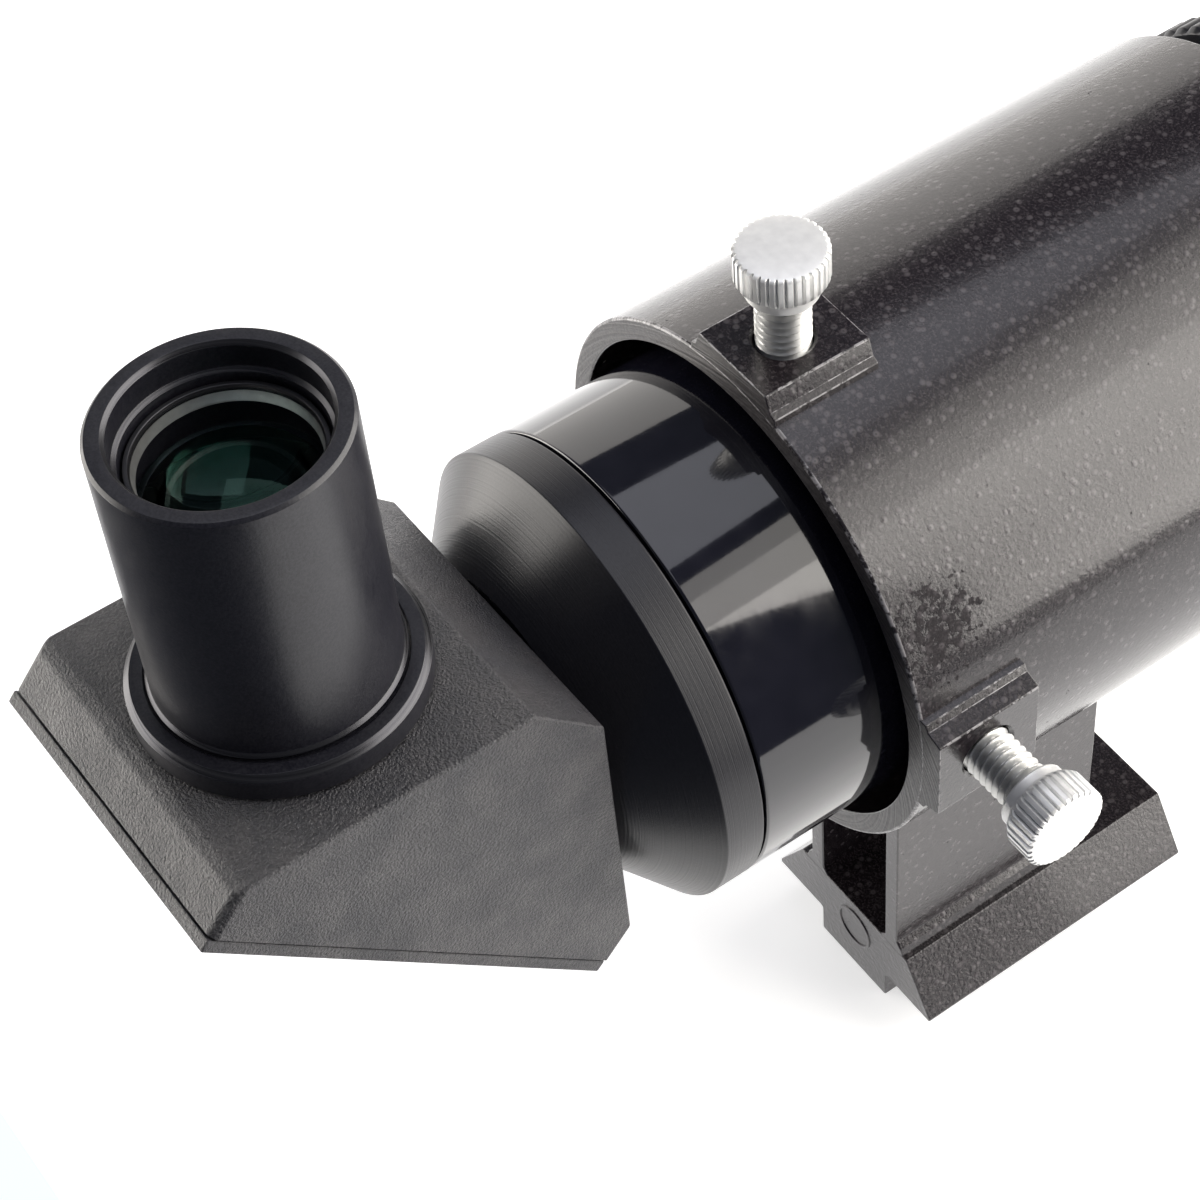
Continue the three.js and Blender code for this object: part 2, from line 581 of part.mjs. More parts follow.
function eyepiece() {
  const holder = group([eyepieceFlange(), eyepieceBarrel(), ...eyepieceOptics()]);
  holder.rotation.x = Math.PI / 2; // the turned pieces' own Y axis becomes +Z
  holder.position.y = EYEPIECE.y;
  return holder;
}

function diagonal() {
  const holder = group([
    diagonalAdapter(), adapterLockNut(), prismHousing(), prismCoverPlate(), ...coverScrews(),
    amiciPrism(), prismShim('prism_shim_left', -1), prismShim('prism_shim_right', 1), eyepiece(),
  ]);
  holder.rotation.y = ROLL;
  return holder;
}

// ---------------------------------------------------------------- the whole telescope

const axisFrame = group([
  bracketCasting(),
  thumbscrew('top', TOP),
  thumbscrew('side', SIDE),
  plunger(),
  oRing(),
  mainTube(),
  baffle('rear_baffle', BAFFLE.rearY, BAFFLE.rearHole),
  baffle('front_baffle', BAFFLE.frontY, BAFFLE.frontHole),
  focusLockRing(),
  objectiveCell(),
  ...objectiveLenses(),
  dewShield(),
  diagonal(),
]);
axisFrame.position.set(0, -FOOT_MIDDLE, AXIS_HEIGHT);

const telescope = new THREE.Group();
telescope.add(axisFrame);

export default telescope;
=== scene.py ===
"""Studio scene of a right-angle finder telescope in its bracket, built round the CAD frame."""

import math

import bmesh
import bpy
from mathutils import Matrix, Vector


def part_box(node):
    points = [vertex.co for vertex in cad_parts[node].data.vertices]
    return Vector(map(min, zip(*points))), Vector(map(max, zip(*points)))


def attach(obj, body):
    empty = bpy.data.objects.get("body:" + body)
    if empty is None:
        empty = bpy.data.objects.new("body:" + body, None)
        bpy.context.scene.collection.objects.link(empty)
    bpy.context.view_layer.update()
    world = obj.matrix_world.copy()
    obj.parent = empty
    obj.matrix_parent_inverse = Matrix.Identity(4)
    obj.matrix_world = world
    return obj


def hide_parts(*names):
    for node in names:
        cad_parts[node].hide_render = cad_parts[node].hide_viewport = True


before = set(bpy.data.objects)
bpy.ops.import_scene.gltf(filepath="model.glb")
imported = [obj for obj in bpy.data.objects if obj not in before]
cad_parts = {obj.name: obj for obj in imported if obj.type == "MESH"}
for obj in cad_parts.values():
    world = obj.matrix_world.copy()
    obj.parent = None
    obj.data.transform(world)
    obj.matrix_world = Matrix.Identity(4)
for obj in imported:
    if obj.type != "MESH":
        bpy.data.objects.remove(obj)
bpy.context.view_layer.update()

MM = 0.001  # outlines below are in millimetres; the scene is in metres

# -------------------- places read from the frame

bracket_low, bracket_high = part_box("bracket_casting")
tube_low, tube_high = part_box("main_tube")
barrel_low, barrel_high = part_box("eyepiece_barrel")

AXIS_HEIGHT = (tube_low.z + tube_high.z) / 2
RING_REAR = bracket_low.y
RING_LENGTH = (bracket_high.y - bracket_low.y) / MM
TUBE_RADIUS = (tube_high.x - tube_low.x) / 2 / MM
TUBE_REAR = (tube_low.y - RING_REAR) / MM
TUBE_FRONT = (tube_high.y - RING_REAR) / MM
FOOT_BOTTOM = (bracket_low.z - AXIS_HEIGHT) / MM
EYEPIECE_Y = ((barrel_low.y + barrel_high.y) / 2 - RING_REAR) / MM
barrel_middle = (barrel_low + barrel_high) / 2
ROLL = math.atan2(barrel_middle.x, barrel_middle.z - AXIS_HEIGHT)

# Frames in which the outlines are drawn. Turned pieces are turned about Y, which runs along the
# optical axis in the first two and up the eyepiece in the third.
Y_TO_Z = Matrix.Rotation(math.pi / 2, 4, "X")
AXIS_FRAME = Matrix.Translation((0, RING_REAR, AXIS_HEIGHT)) @ Matrix.Scale(MM, 4)
DIAGONAL_FRAME = AXIS_FRAME @ Matrix.Rotation(ROLL, 4, "Y")
EYEPIECE_FRAME = DIAGONAL_FRAME @ Matrix.Translation((0, EYEPIECE_Y, 0)) @ Y_TO_Z


def radial_frame(angle, y):
    """Local +Y points away from the optical axis; angle 0 is up and grows towards +X."""
    outward = Vector((math.sin(angle), 0, math.cos(angle)))
    turn = Vector((0, 1, 0)).rotation_difference(outward).to_matrix().to_4x4()
    return AXIS_FRAME @ Matrix.Translation((0, y, 0)) @ turn


# Where the screws stand along the axis, and their angles round it.
SCREW_Y = 6.8
TOP = 0.0
SIDE = math.pi / 2
OPPOSITE = -3 * math.pi / 4

# -------------------- camera, lights, floor


def place_camera():
    """The camera that was fitted to the photo's ellipses and edges; station is in millimetres."""
    camera = bpy.data.cameras.new("camera")
    camera.sensor_width = 36
    camera.lens = 95.14
    camera.shift_x = -0.162
    camera.shift_y = -0.078
    camera.clip_start = 0.01
    camera.clip_end = 20
    right = Vector((0.603897, 0.796879, -0.017058))
    up = Vector((-0.597436, 0.466712, 0.652112))
    back = right.cross(up)
    station = Vector((185.49, -127.25, 273.71))
    turn = Matrix((right, up, back)).transposed().to_4x4()
    holder = bpy.data.objects.new("camera", camera)
    holder.matrix_world = Matrix.Translation(AXIS_FRAME @ station) @ turn
    bpy.context.scene.collection.objects.link(holder)
    bpy.context.scene.camera = holder


SOFTBOX_DISTANCE = 0.9


def softbox(name, around, lean, roll, size, brightness, tint, slide=0.0):
    """A rectangular light facing the telescope. Its direction turns around the optical axis from
    +Z towards +X and leans towards +Y, in degrees; brightness is its radiance and slide moves it
    along its own width."""
    width, height = size
    light = bpy.data.lights.new(name, "AREA")
    light.shape = "RECTANGLE"
    light.size = width
    light.size_y = height
    light.energy = brightness * math.pi * width * height
    light.color = tint
    beta = math.radians(around)
    rise = math.radians(lean)
    level = math.cos(rise)
    away = Vector((math.sin(beta) * level, math.sin(rise), math.cos(beta) * level))
    side = Vector((math.cos(beta), 0, -math.sin(beta)))
    turn = Matrix((side, away.cross(side), away)).transposed().to_4x4()
    place = Matrix.Translation(Vector((0, 0, AXIS_HEIGHT)) + away * SOFTBOX_DISTANCE)
    holder = bpy.data.objects.new(name, light)
    rolled = Matrix.Rotation(math.radians(roll), 4, "Z")
    holder.matrix_world = place @ turn @ rolled @ Matrix.Translation((slide, 0, 0))
    bpy.context.scene.collection.objects.link(holder)


def light_studio():
    """Softboxes on the right, above, on the left and behind. The right one fades towards its upper
    edge, so it is three strips."""
    warm = (1.0, 0.96, 0.905)
    cool = (0.96, 0.97, 1.05)
    strips = (("edge", 0.17, -0.73, 1.9), ("middle", 0.26, -0.515, 3.2), ("body", 1.17, 0.2, 5.8))
    for name, width, slide, brightness in strips:
        size = (width, 1.37)
        softbox(f"right_softbox_{name}", 54.1, 57.4, 15.9, size, brightness, warm, slide)
    softbox("top_softbox", -5.1, 4.7, -38.6, (0.89, 0.70), 1.4, cool)
    softbox("left_softbox", -99.7, 17.1, -28.6, (1.35, 1.40), 1.5, warm)
    softbox("rear_softbox", -95, -45, 0, (0.95, 0.7), 5.5, warm)
    bpy.context.scene.view_settings.view_transform = "Standard"
    light_backdrop(0.1, 1.3)


def light_backdrop(fill, seen):
    """A pale surround that the camera sees brighter than the object is lit by it."""
    world = bpy.data.worlds.new("studio")
    world.use_nodes = True
    nodes = world.node_tree.nodes
    links = world.node_tree.links
    background = nodes["Background"]
    background.inputs["Color"].default_value = (0.74, 0.8, 1, 1)
    path = nodes.new("ShaderNodeLightPath")
    choose = nodes.new("ShaderNodeMix")
    choose.inputs["A"].default_value = fill
    choose.inputs["B"].default_value = seen
    links.new(path.outputs["Is Camera Ray"], choose.inputs["Factor"])
    links.new(choose.outputs["Result"], background.inputs["Strength"])
    bpy.context.scene.world = world


def lay_floor():
    """A sheet of paper under the telescope, cut short on its near and right sides."""
    mesh = bpy.data.meshes.new("floor")
    left = -1.2
    right = 0.28
    near = -0.125
    far = 1.0
    clearance = 0.0004
    corners = [(left, near, 0), (right, near, 0), (right, far, 0), (left, far, 0)]
    mesh.from_pydata(corners, [], [(0, 1, 2, 3)])
    floor = bpy.data.objects.new("floor", mesh)
    floor.location.z = -clearance
    bpy.context.scene.collection.objects.link(floor)
    mesh.materials.append(floor_paper())


# -------------------- material helpers


# The sockets of a Mix node that hold colours.
MIX_FIRST = 6
MIX_SECOND = 7
MIX_RESULT = 2


class Nodes:
    """A thin wrapper that adds shader nodes to one material. Lengths are in millimetres."""

    def __init__(self, name):
        self.material = bpy.data.materials.new(name)
        self.material.use_nodes = True
        self.tree = self.material.node_tree
        self.shader = self.tree.nodes["Principled BSDF"]
        self.place = self.vector("SCALE", self.add("TexCoord").outputs["Object"], scale=1 / MM)

    def add(self, kind):
        return self.tree.nodes.new("ShaderNode" + kind)

    def link(self, source, target):
        self.tree.links.new(source, target)

    def vector(self, operation, source, scale=None, value=None):
        node = self.add("VectorMath")
        node.operation = operation
        self.link(source, node.inputs[0])
        if scale is not None:
            node.inputs["Scale"].default_value = scale
        if value is not None:
            node.inputs[1].default_value = value
        return node.outputs["Value"] if operation == "LENGTH" else node.outputs["Vector"]

    def math(self, operation, first, second):
        node = self.add("Math")
        node.operation = operation
        for socket, value in zip(node.inputs, (first, second)):
            if isinstance(value, (int, float)):
                socket.default_value = value
            else:
                self.link(value, socket)
        return node.outputs[0]

    def noise(self, scale, detail=3.0, roughness=0.5, stretch=None):
        node = self.add("TexNoise")
        source = self.place
        if stretch:
            source = self.vector("MULTIPLY", self.place, value=stretch)
        self.link(source, node.inputs["Vector"])
        node.inputs["Scale"].default_value = scale
        node.inputs["Detail"].default_value = detail
        node.inputs["Roughness"].default_value = roughness
        return node.outputs["Fac"]

    def cells(self, scale):
        node = self.add("TexVoronoi")
        self.link(self.place, node.inputs["Vector"])
        node.inputs["Scale"].default_value = scale
        return node.outputs["Distance"]

    def lines(self, source, scale, detail=2.0):
        """Noise along one length only, as a lathe tool leaves it."""
        node = self.add("TexNoise")
        node.noise_dimensions = "1D"
        self.link(source, node.inputs["W"])
        node.inputs["Scale"].default_value = scale
        node.inputs["Detail"].default_value = detail
        return node.outputs["Fac"]

    def along(self, axis):
        node = self.add("SeparateXYZ")
        self.link(self.place, node.inputs[0])
        return node.outputs[axis]

    def radius(self, centre, flatten):
        """Distance from a line: centre in millimetres, flatten is 0 along the line's direction."""
        moved = self.vector("SUBTRACT", self.place, value=centre)
        return self.vector("LENGTH", self.vector("MULTIPLY", moved, value=flatten))

    def distance(self, point):
        return self.vector("LENGTH", self.vector("SUBTRACT", self.place, value=point))

    def ramp(self, source, *stops):
        node = self.add("ValToRGB")
        self.link(source, node.inputs["Fac"])
        elements = node.color_ramp.elements
        while len(elements) < len(stops):
            elements.new(0.5)
        for element, (position, value) in zip(elements, stops):
            element.position = position
            colour = value if isinstance(value, tuple) else (value, value, value)
            element.color = (*colour, 1)
        return node.outputs["Color"]

    def mix(self, factor, first, second):
        node = self.add("Mix")
        node.data_type = "RGBA"
        self.link(factor, node.inputs["Factor"])
        for index, value in ((MIX_FIRST, first), (MIX_SECOND, second)):
            if isinstance(value, tuple):
                node.inputs[index].default_value = (*value, 1)
            else:
                self.link(value, node.inputs[index])
        return node.outputs[MIX_RESULT]

    def bump(self, height, distance, strength=1.0, after=None):
        node = self.add("Bump")
        node.inputs["Strength"].default_value = strength
        node.inputs["Distance"].default_value = distance * MM
        self.link(height, node.inputs["Height"])
        if after is not None:
            self.link(after, node.inputs["Normal"])
        return node.outputs["Normal"]

    def finish(self, colour, roughness, normal=None, metallic=0.0, **sockets):
        inputs = self.shader.inputs
        for socket, value in (("Base Color", colour), ("Roughness", roughness), ("Normal", normal)):
            if value is None:
                continue
            if isinstance(value, tuple):
                inputs[socket].default_value = (*value, 1)
            elif isinstance(value, float):
                inputs[socket].default_value = value
            else:
                self.link(value, inputs[socket])
        inputs["Metallic"].default_value = metallic
        for key, value in sockets.items():
            socket = inputs[key.replace("_", " ").title().replace("Ior", "IOR")]
            if isinstance(value, bpy.types.NodeSocket):
                self.link(value, socket)
            else:
                socket.default_value = value
        return self.material


# -------------------- materials


def floor_paper():
    n = Nodes("floor_paper")
    tone = n.ramp(n.noise(0.02, 2), (0.3, 0.86), (0.7, 0.9))
    return n.finish(tone, 0.9, emission_color=(1, 1, 1, 1), emission_strength=0.55)


def hammertone_paint(name, lumps=0.05):
    """Glossy black with pimples, pale flecks painted on them as highlights, and one blotchy run
    beside the side screw; lumps is the height of the uneven coat in millimetres."""
    n = Nodes(name)
    paint_run = tuple(AXIS_FRAME @ Vector((28.7, 4.5, 15.6)) / MM)
    mottle = n.noise(3.0, 5, 0.7)
    colour = n.ramp(mottle, (0.36, (0.006, 0.004, 0.006)), (0.5, (0.014, 0.011, 0.013)),
                    (0.66, (0.048, 0.041, 0.044)))
    spots = n.math("ADD", n.cells(0.8), n.math("MULTIPLY", n.noise(3.0, 2), 0.2))
    # pale flecks round the pimples: painted highlights
    painted_fleck_highlight = n.ramp(spots, (0.16, 0.35), (0.25, 1.0), (0.46, 0.0))
    thin = n.ramp(n.noise(0.7, 3), (0.30, 0.0), (0.50, 1.0))
    colour = n.mix(n.math("MULTIPLY", painted_fleck_highlight, thin), colour, (0.072, 0.064, 0.068))
    roughness = n.ramp(n.noise(2.4, 4), (0.3, 0.08), (0.7, 0.17))
    grain = n.bump(mottle, 0.03, 0.7)
    peel = n.bump(n.noise(1.9, 3, 0.6), lumps, 0.6, grain)
    pimples = n.bump(n.ramp(spots, (0.12, 1.0), (0.42, 0.0)), 0.05, 0.5, peel)
    nearby = n.ramp(n.math("DIVIDE", n.distance(paint_run), 10.0), (0.1, 0.32), (0.95, 0.0))
    blot = n.ramp(n.math("ADD", n.noise(0.9, 4, 0.65), nearby), (0.71, 0.0), (0.75, 1.0))
    runs = n.bump(blot, 0.08, 0.9, pimples)
    roughness = n.mix(blot, roughness, (0.6, 0.6, 0.6))
    coat = n.ramp(blot, (0.0, 0.3), (1.0, 0.0))
    gloss = n.ramp(blot, (0.0, 0.5), (1.0, 0.2))
    return n.finish(colour, roughness, runs, coat_weight=coat, coat_roughness=0.07,
                    specular_ior_level=gloss)


def edge_wear_and_highlight_paint():
    """Thin paint on sharp edges, rubbed through here and there; its pale patches are worn paint and
    painted edge highlights together.
    """
    n = Nodes("edge_wear_and_highlight_paint")
    patches = n.noise(0.9, 4, 0.65)
    # pale patches: paint rubbed through, and painted highlights along the edges
    rubbed_and_highlit = n.ramp(patches, (0.46, (0.02, 0.017, 0.019)), (0.54, (0.26, 0.25, 0.255)))
    roughness = n.ramp(n.noise(2.4, 4), (0.3, 0.2), (0.7, 0.34))
    return n.finish(rubbed_and_highlit, roughness, n.bump(n.noise(3.0, 3), 0.03, 0.6), coat_weight=0.2)


def machined_paint():
    """The faced-off rear edge of the ring: thin paint over fine arcs left by the cutter."""
    n = Nodes("machined_paint")
    marks = n.noise(1.0, 3, 0.6, stretch=(3.2, 1, 3.2))
    colour = n.ramp(marks, (0.35, (0.02, 0.018, 0.019)), (0.7, (0.07, 0.065, 0.066)))
    cutter_centre = (9, RING_REAR / MM, AXIS_HEIGHT / MM - 14)
    cutter = n.lines(n.radius(cutter_centre, (1, 0, 1)), 2.4, 3)
    relief = n.bump(n.noise(2.2, 3, 0.6), 0.05, 0.6, n.bump(cutter, 0.08, 1.0))
    return n.finish(colour, n.ramp(cutter, (0.3, 0.28), (0.7, 0.42)), relief)


def gloss_enamel():
    """Smooth black enamel with faint ripples and smears."""
    n = Nodes("gloss_enamel")
    tone = n.ramp(n.noise(0.3, 3), (0.3, (0.005, 0.005, 0.009)), (0.7, (0.008, 0.008, 0.013)))
    smear = n.ramp(n.noise(0.25, 4), (0.35, 0.05), (0.7, 0.1))
    ripple = n.bump(n.noise(0.35, 2), 0.03, 0.25)
    return n.finish(tone, smear, ripple, coat_weight=0.5, coat_roughness=0.03)


def turned_anodising():
    """Satin black with the fine grooves that a lathe tool leaves round the optical axis."""
    n = Nodes("turned_anodising")
    grooves = n.lines(n.along("Y"), 7.0, 2)
    fine = n.noise(3.4, 3, 0.7)
    colour = n.ramp(fine, (0.3, (0.006, 0.006, 0.009)), (0.7, (0.012, 0.012, 0.016)))
    roughness = n.ramp(grooves, (0.3, 0.28), (0.7, 0.36))
    relief = n.bump(grooves, 0.03, 0.6, n.bump(fine, 0.015, 0.6))
    return n.finish(colour, roughness, relief, specular_ior_level=0.42)


def grained_polymer():
    """Moulded black with a leather grain, handled shinier in cloudy patches."""
    n = Nodes("grained_polymer")
    grain = n.noise(3.2, 4, 0.6)
    pores = n.ramp(n.cells(3.2), (0.05, 0.0), (0.5, 1.0))
    cloud = n.noise(0.16, 5, 0.6)
    pale = n.ramp(grain, (0.38, (0.014, 0.013, 0.016)), (0.62, (0.052, 0.049, 0.053)))
    dark = n.ramp(grain, (0.38, (0.007, 0.007, 0.011)), (0.62, (0.032, 0.032, 0.038)))
    colour = n.mix(n.ramp(cloud, (0.38, 0.0), (0.62, 1.0)), dark, pale)
    scuff = n.ramp(cloud, (0.35, 0.46), (0.65, 0.31))
    relief = n.bump(pores, 0.08, 0.5, n.bump(grain, 0.3, 1.0))
    return n.finish(colour, scuff, relief, specular_ior_level=0.72)


def blasted_anodising():
    """Bead-blasted satin black."""
    n = Nodes("blasted_anodising")
    blast = n.noise(3.4, 3, 0.7)
    colour = n.ramp(blast, (0.38, (0.006, 0.006, 0.010)), (0.62, (0.018, 0.018, 0.023)))
    roughness = n.ramp(n.noise(0.4, 3), (0.3, 0.29), (0.7, 0.35))
    return n.finish(colour, roughness, n.bump(blast, 0.02, 0.7), specular_ior_level=0.5)


def polished_black():
    """The bright-turned edges of the eyepiece and its lens keeper."""
    n = Nodes("polished_black")
    marks = n.lines(n.along("Z"), 5.0, 2)
    colour = n.ramp(marks, (0.3, (0.035, 0.035, 0.04)), (0.7, (0.065, 0.065, 0.07)))
    roughness = n.ramp(marks, (0.3, 0.25), (0.7, 0.35))
    return n.finish(colour, roughness, n.bump(marks, 0.01, 0.4), metallic=0.8)


def turned_metal(name, centre, flatten, pale, metallic):
    """Turned metal of the given paleness with faint rings about a line, in millimetres."""
    n = Nodes(name)
    rings = n.lines(n.radius(centre, flatten), 9.0, 3)
    low = pale - 0.05
    high = pale + 0.05
    cloud = n.noise(0.8, 3)
    colour = n.ramp(cloud, (0.3, (low, low, low - 0.01)), (0.7, (high, high, high - 0.015)))
    roughness = n.ramp(rings, (0.3, 0.36), (0.7, 0.46))
    return n.finish(colour, roughness, n.bump(rings, 0.004, 0.3), metallic=metallic)


def coated_glass(name, pale, deep):
    """Clear glass with a green anti-reflection coating."""
    n = Nodes(name)
    tint = n.ramp(n.noise(0.05, 1), (0.3, pale), (0.7, deep))
    return n.finish(tint, 0.01, transmission_weight=1.0, ior=1.5, specular_ior_level=0.035,
                    specular_tint=(0.10, 0.30, 0.22, 1))


def soft_rubber():
    n = Nodes("soft_rubber")
    grain = n.noise(3.0, 3)
    colour = n.ramp(grain, (0.3, (0.012, 0.012, 0.012)), (0.7, (0.022, 0.022, 0.022)))
    return n.finish(colour, n.ramp(grain, (0.3, 0.5), (0.7, 0.65)), n.bump(grain, 0.02, 0.5))


def milky_nylon():
    n = Nodes("milky_nylon")
    grain = n.noise(2.0, 3)
    colour = n.ramp(grain, (0.3, (0.74, 0.73, 0.68)), (0.7, (0.82, 0.81, 0.77)))
    roughness = n.ramp(grain, (0.3, 0.4), (0.7, 0.5))
    return n.finish(colour, roughness, n.bump(grain, 0.02, 0.4), subsurface_weight=0.1)


def black_foam():
    n = Nodes("black_foam")
    cells = n.cells(3.0)
    colour = n.ramp(cells, (0.0, (0.01, 0.01, 0.01)), (0.5, (0.04, 0.04, 0.04)))
    return n.finish(colour, n.ramp(cells, (0.0, 0.95), (0.5, 0.85)), n.bump(cells, 0.1, 0.8))


def drawn_steel():
    n = Nodes("drawn_steel")
    scale = n.noise(4.0, 3)
    colour = n.ramp(scale, (0.3, (0.45, 0.45, 0.46)), (0.7, (0.6, 0.6, 0.61)))
    roughness = n.ramp(scale, (0.3, 0.25), (0.7, 0.4))
    return n.finish(colour, roughness, n.bump(scale, 0.01, 0.4), metallic=1.0)


# -------------------- mesh helpers

LARGE_ROUND = 256  # how many sides the large turned pieces have


def rounded(corners, steps=4):
    """Closed outline from corners (a, b) or (a, b, fillet); a fillet becomes a short curve."""
    points = []
    count = len(corners)
    for index, corner in enumerate(corners):
        here = Vector(corner[:2])
        fillet = corner[2] if len(corner) > 2 else 0
        if not fillet:
            points.append(here)
            continue
        before = (Vector(corners[index - 1][:2]) - here).normalized()
        after = (Vector(corners[(index + 1) % count][:2]) - here).normalized()
        half = before.angle(after) / 2
        reach = fillet / math.tan(half)
        centre = here + (before + after).normalized() * (fillet / math.sin(half))
        start = here + before * reach - centre
        sweep = (here + after * reach - centre).angle_signed(start)
        for step in range(steps + 1):
            points.append(centre + Matrix.Rotation(sweep * step / steps, 2) @ start)
    return points


def new_piece(name, bm, place, body, materials, replaces, sharp=35):
    """Makes the finished object: placed, shaded, riding its body, standing for its CAD nodes."""
    bmesh.ops.transform(bm, matrix=place, verts=bm.verts)
    bmesh.ops.dissolve_degenerate(bm, dist=0.002 * MM, edges=bm.edges)
    bmesh.ops.recalc_face_normals(bm, faces=bm.faces)
    mesh = bpy.data.meshes.new(name)
    bm.to_mesh(mesh)
    bm.free()
    for material in materials if isinstance(materials, list) else [materials]:
        mesh.materials.append(material)
    mesh.polygons.foreach_set("use_smooth", [True] * len(mesh.polygons))
    mesh.set_sharp_from_angle(angle=math.radians(sharp))
    piece = bpy.data.objects.new(name, mesh)
    bpy.context.scene.collection.objects.link(piece)
    level = piece.modifiers.new("level_faces", "WEIGHTED_NORMAL")
    level.keep_sharp = True
    level.weight = 100
    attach(piece, body)
    for node in replaces:
        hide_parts(node)


def lathe(outline, segments, closed=True, wobble=None):
    """A bmesh turned about Y. The outline holds (radius, y); wobble(angle, radius, y) gives the
    radius of a fluted or threaded piece."""
    bm = bmesh.new()
    rows = []
    for radius, y in outline:
        if radius < 1e-6:
            rows.append([bm.verts.new((0, y, 0))])
            continue
        row = []
        for step in range(segments):
            angle = 2 * math.pi * step / segments
            reach = wobble(angle, radius, y) if wobble else radius
            row.append(bm.verts.new((reach * math.sin(angle), y, reach * math.cos(angle))))
        rows.append(row)
    pairs = list(zip(rows, rows[1:] + rows[:1])) if closed else list(zip(rows, rows[1:]))
    for first, second in pairs:
        if len(first) == 1 and len(second) == 1:
            continue
        for step in range(segments):
            ring = [first[step % len(first)], first[(step + 1) % len(first)],
                    second[(step + 1) % len(second)], second[step % len(second)]]
            bm.faces.new(list(dict.fromkeys(ring)))
    return bm


def prism(outline, start, end, along="Y"):
    """A bmesh of an outline pushed from start to end. Along Y the outline holds (x, z), along X
    (y, z)."""
    bm = bmesh.new()
    first = []
    second = []
    for row, depth in ((first, start), (second, end)):
        for a, b in outline:
            row.append(bm.verts.new((a, depth, b) if along == "Y" else (depth, a, b)))
    count = len(outline)
    for step in range(count):
        following = (step + 1) % count
        bm.faces.new((first[step], first[following], second[following], second[step]))
    bm.faces.new(first)
    bm.faces.new(second)
    bmesh.ops.recalc_face_normals(bm, faces=bm.faces)
    return bm


def plug(radius, start, end, segments):
    """A plain cylinder about Y, to cut a hole with."""
    return lathe([(0, start), (radius, start), (radius, end), (0, end)], segments, closed=False)


def rectangle(half_width, half_height):
    return [(-half_width, -half_height), (half_width, -half_height), (half_width, half_height),
            (-half_width, half_height)]


def mirrored(half):
    """A whole outline from its right half."""
    return [*half, *[(-corner[0], *corner[1:]) for corner in reversed(half)]]


def across(edge):
    """True for an edge that lies in an end face of a prism along Y."""
    return abs(edge.verts[0].co.y - edge.verts[1].co.y) < 1e-6


def in_plane(face, y):
    return all(abs(v.co.y - y) < 0.02 for v in face.verts)


def face_place(face):
    """How far the middle of a face is from the Y axis, and where it is along it."""
    middle = face.calc_center_median()
    return math.hypot(middle.x, middle.z), middle.y


def bevel_edges(bm, width, segments=3, chosen=lambda edge: True, angle=25):
    edges = [e for e in bm.edges
             if len(e.link_faces) == 2 and e.calc_face_angle() > math.radians(angle) and chosen(e)]
    bmesh.ops.bevel(bm, geom=edges, offset=width, segments=segments, profile=0.5, affect="EDGES",
                    clamp_overlap=True)


def combine(first, second):
    """Adds the faces of the second bmesh to the first."""
    mesh = bpy.data.meshes.new("scratch")
    second.to_mesh(mesh)
    second.free()
    first.from_mesh(mesh)
    bpy.data.meshes.remove(mesh)
    return first


def carve(bm, cutters):
    """Cuts bmeshes out of one with exact booleans; all are drawn in one local frame."""
    scene = bpy.context.scene
    objects = []
    for index, source in enumerate([bm, *cutters]):
        bmesh.ops.recalc_face_normals(source, faces=source.faces)
        mesh = bpy.data.meshes.new(f"scratch_{index}")
        source.to_mesh(mesh)
        source.free()
        holder = bpy.data.objects.new(f"scratch_{index}", mesh)
        scene.collection.objects.link(holder)
        objects.append(holder)
    target = objects[0]
    for cutter in objects[1:]:
        modifier = target.modifiers.new(cutter.name, "BOOLEAN")
        modifier.operation = "DIFFERENCE"
        modifier.solver = "EXACT"
        modifier.object = cutter
    evaluated = target.evaluated_get(bpy.context.evaluated_depsgraph_get())
    result = bmesh.new()
    result.from_mesh(evaluated.to_mesh())
    evaluated.to_mesh_clear()
    for holder in objects:
        mesh = holder.data
        bpy.data.objects.remove(holder)
        bpy.data.meshes.remove(mesh)
    return result


def turned_piece(name, corners, place, body, material, replaces, segments):
    bm = lathe(rounded(corners), segments)
    new_piece(name, bm, place, body, material, replaces)


def shade(nodes, material):
    """Gives a material to nodes of the CAD frame that are shown as they are."""
    for node in nodes:
        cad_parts[node].material_slots[0].material = material


# -------------------- bracket

RING_BORE = 29.9
RING_OUTER = 32.7
RING_FILLET = 0.35
HOLE_RADIUS = 3.2
HOLE_START = 28
HOLE_END = 34
BOSS_SUNK = 30.6
BOSS_LENGTH = 13.65
PAD_HEIGHT = 35.13
RECESS = 0.03  # keeps end faces that share a plane from lying in each other


def ring_piece(paint, faced, edge_wear_and_highlight):
    corners = [
        (RING_BORE, 0, 0.25), (RING_OUTER, 0, RING_FILLET),
        (RING_OUTER, RING_LENGTH, RING_FILLET), (RING_BORE, RING_LENGTH, 0.25),
    ]
    holes = []
    for angle in (TOP, SIDE, OPPOSITE):
        hole = plug(HOLE_RADIUS, HOLE_START, HOLE_END, 48)
        place = AXIS_FRAME.inverted() @ radial_frame(angle, SCREW_Y)
        bmesh.ops.transform(hole, matrix=place, verts=hole.verts)
        holes.append(hole)
    bm = carve(lathe(rounded(corners), LARGE_ROUND), holes)
    for face in bm.faces:
        reach, y = face_place(face)
        if in_plane(face, 0):
            face.material_index = 1
        elif y < RING_FILLET and reach > RING_OUTER - RING_FILLET:
            # the outer rear edge gets worn paint with painted edge highlights
            face.material_index = 2
    new_piece("bracket_ring", bm, AXIS_FRAME, "bracket", [paint, faced, edge_wear_and_highlight],
              ["bracket_casting"])


def narrow(face):
    """True for the slender faces that a bevel or fillet leaves along an edge."""
    sizes = []
    for axis in range(3):
        places = [v.co[axis] for v in face.verts]
        sizes.append(max(places) - min(places))
    return sorted(sizes)[1] < 0.2 < 2.0 < max(sizes)


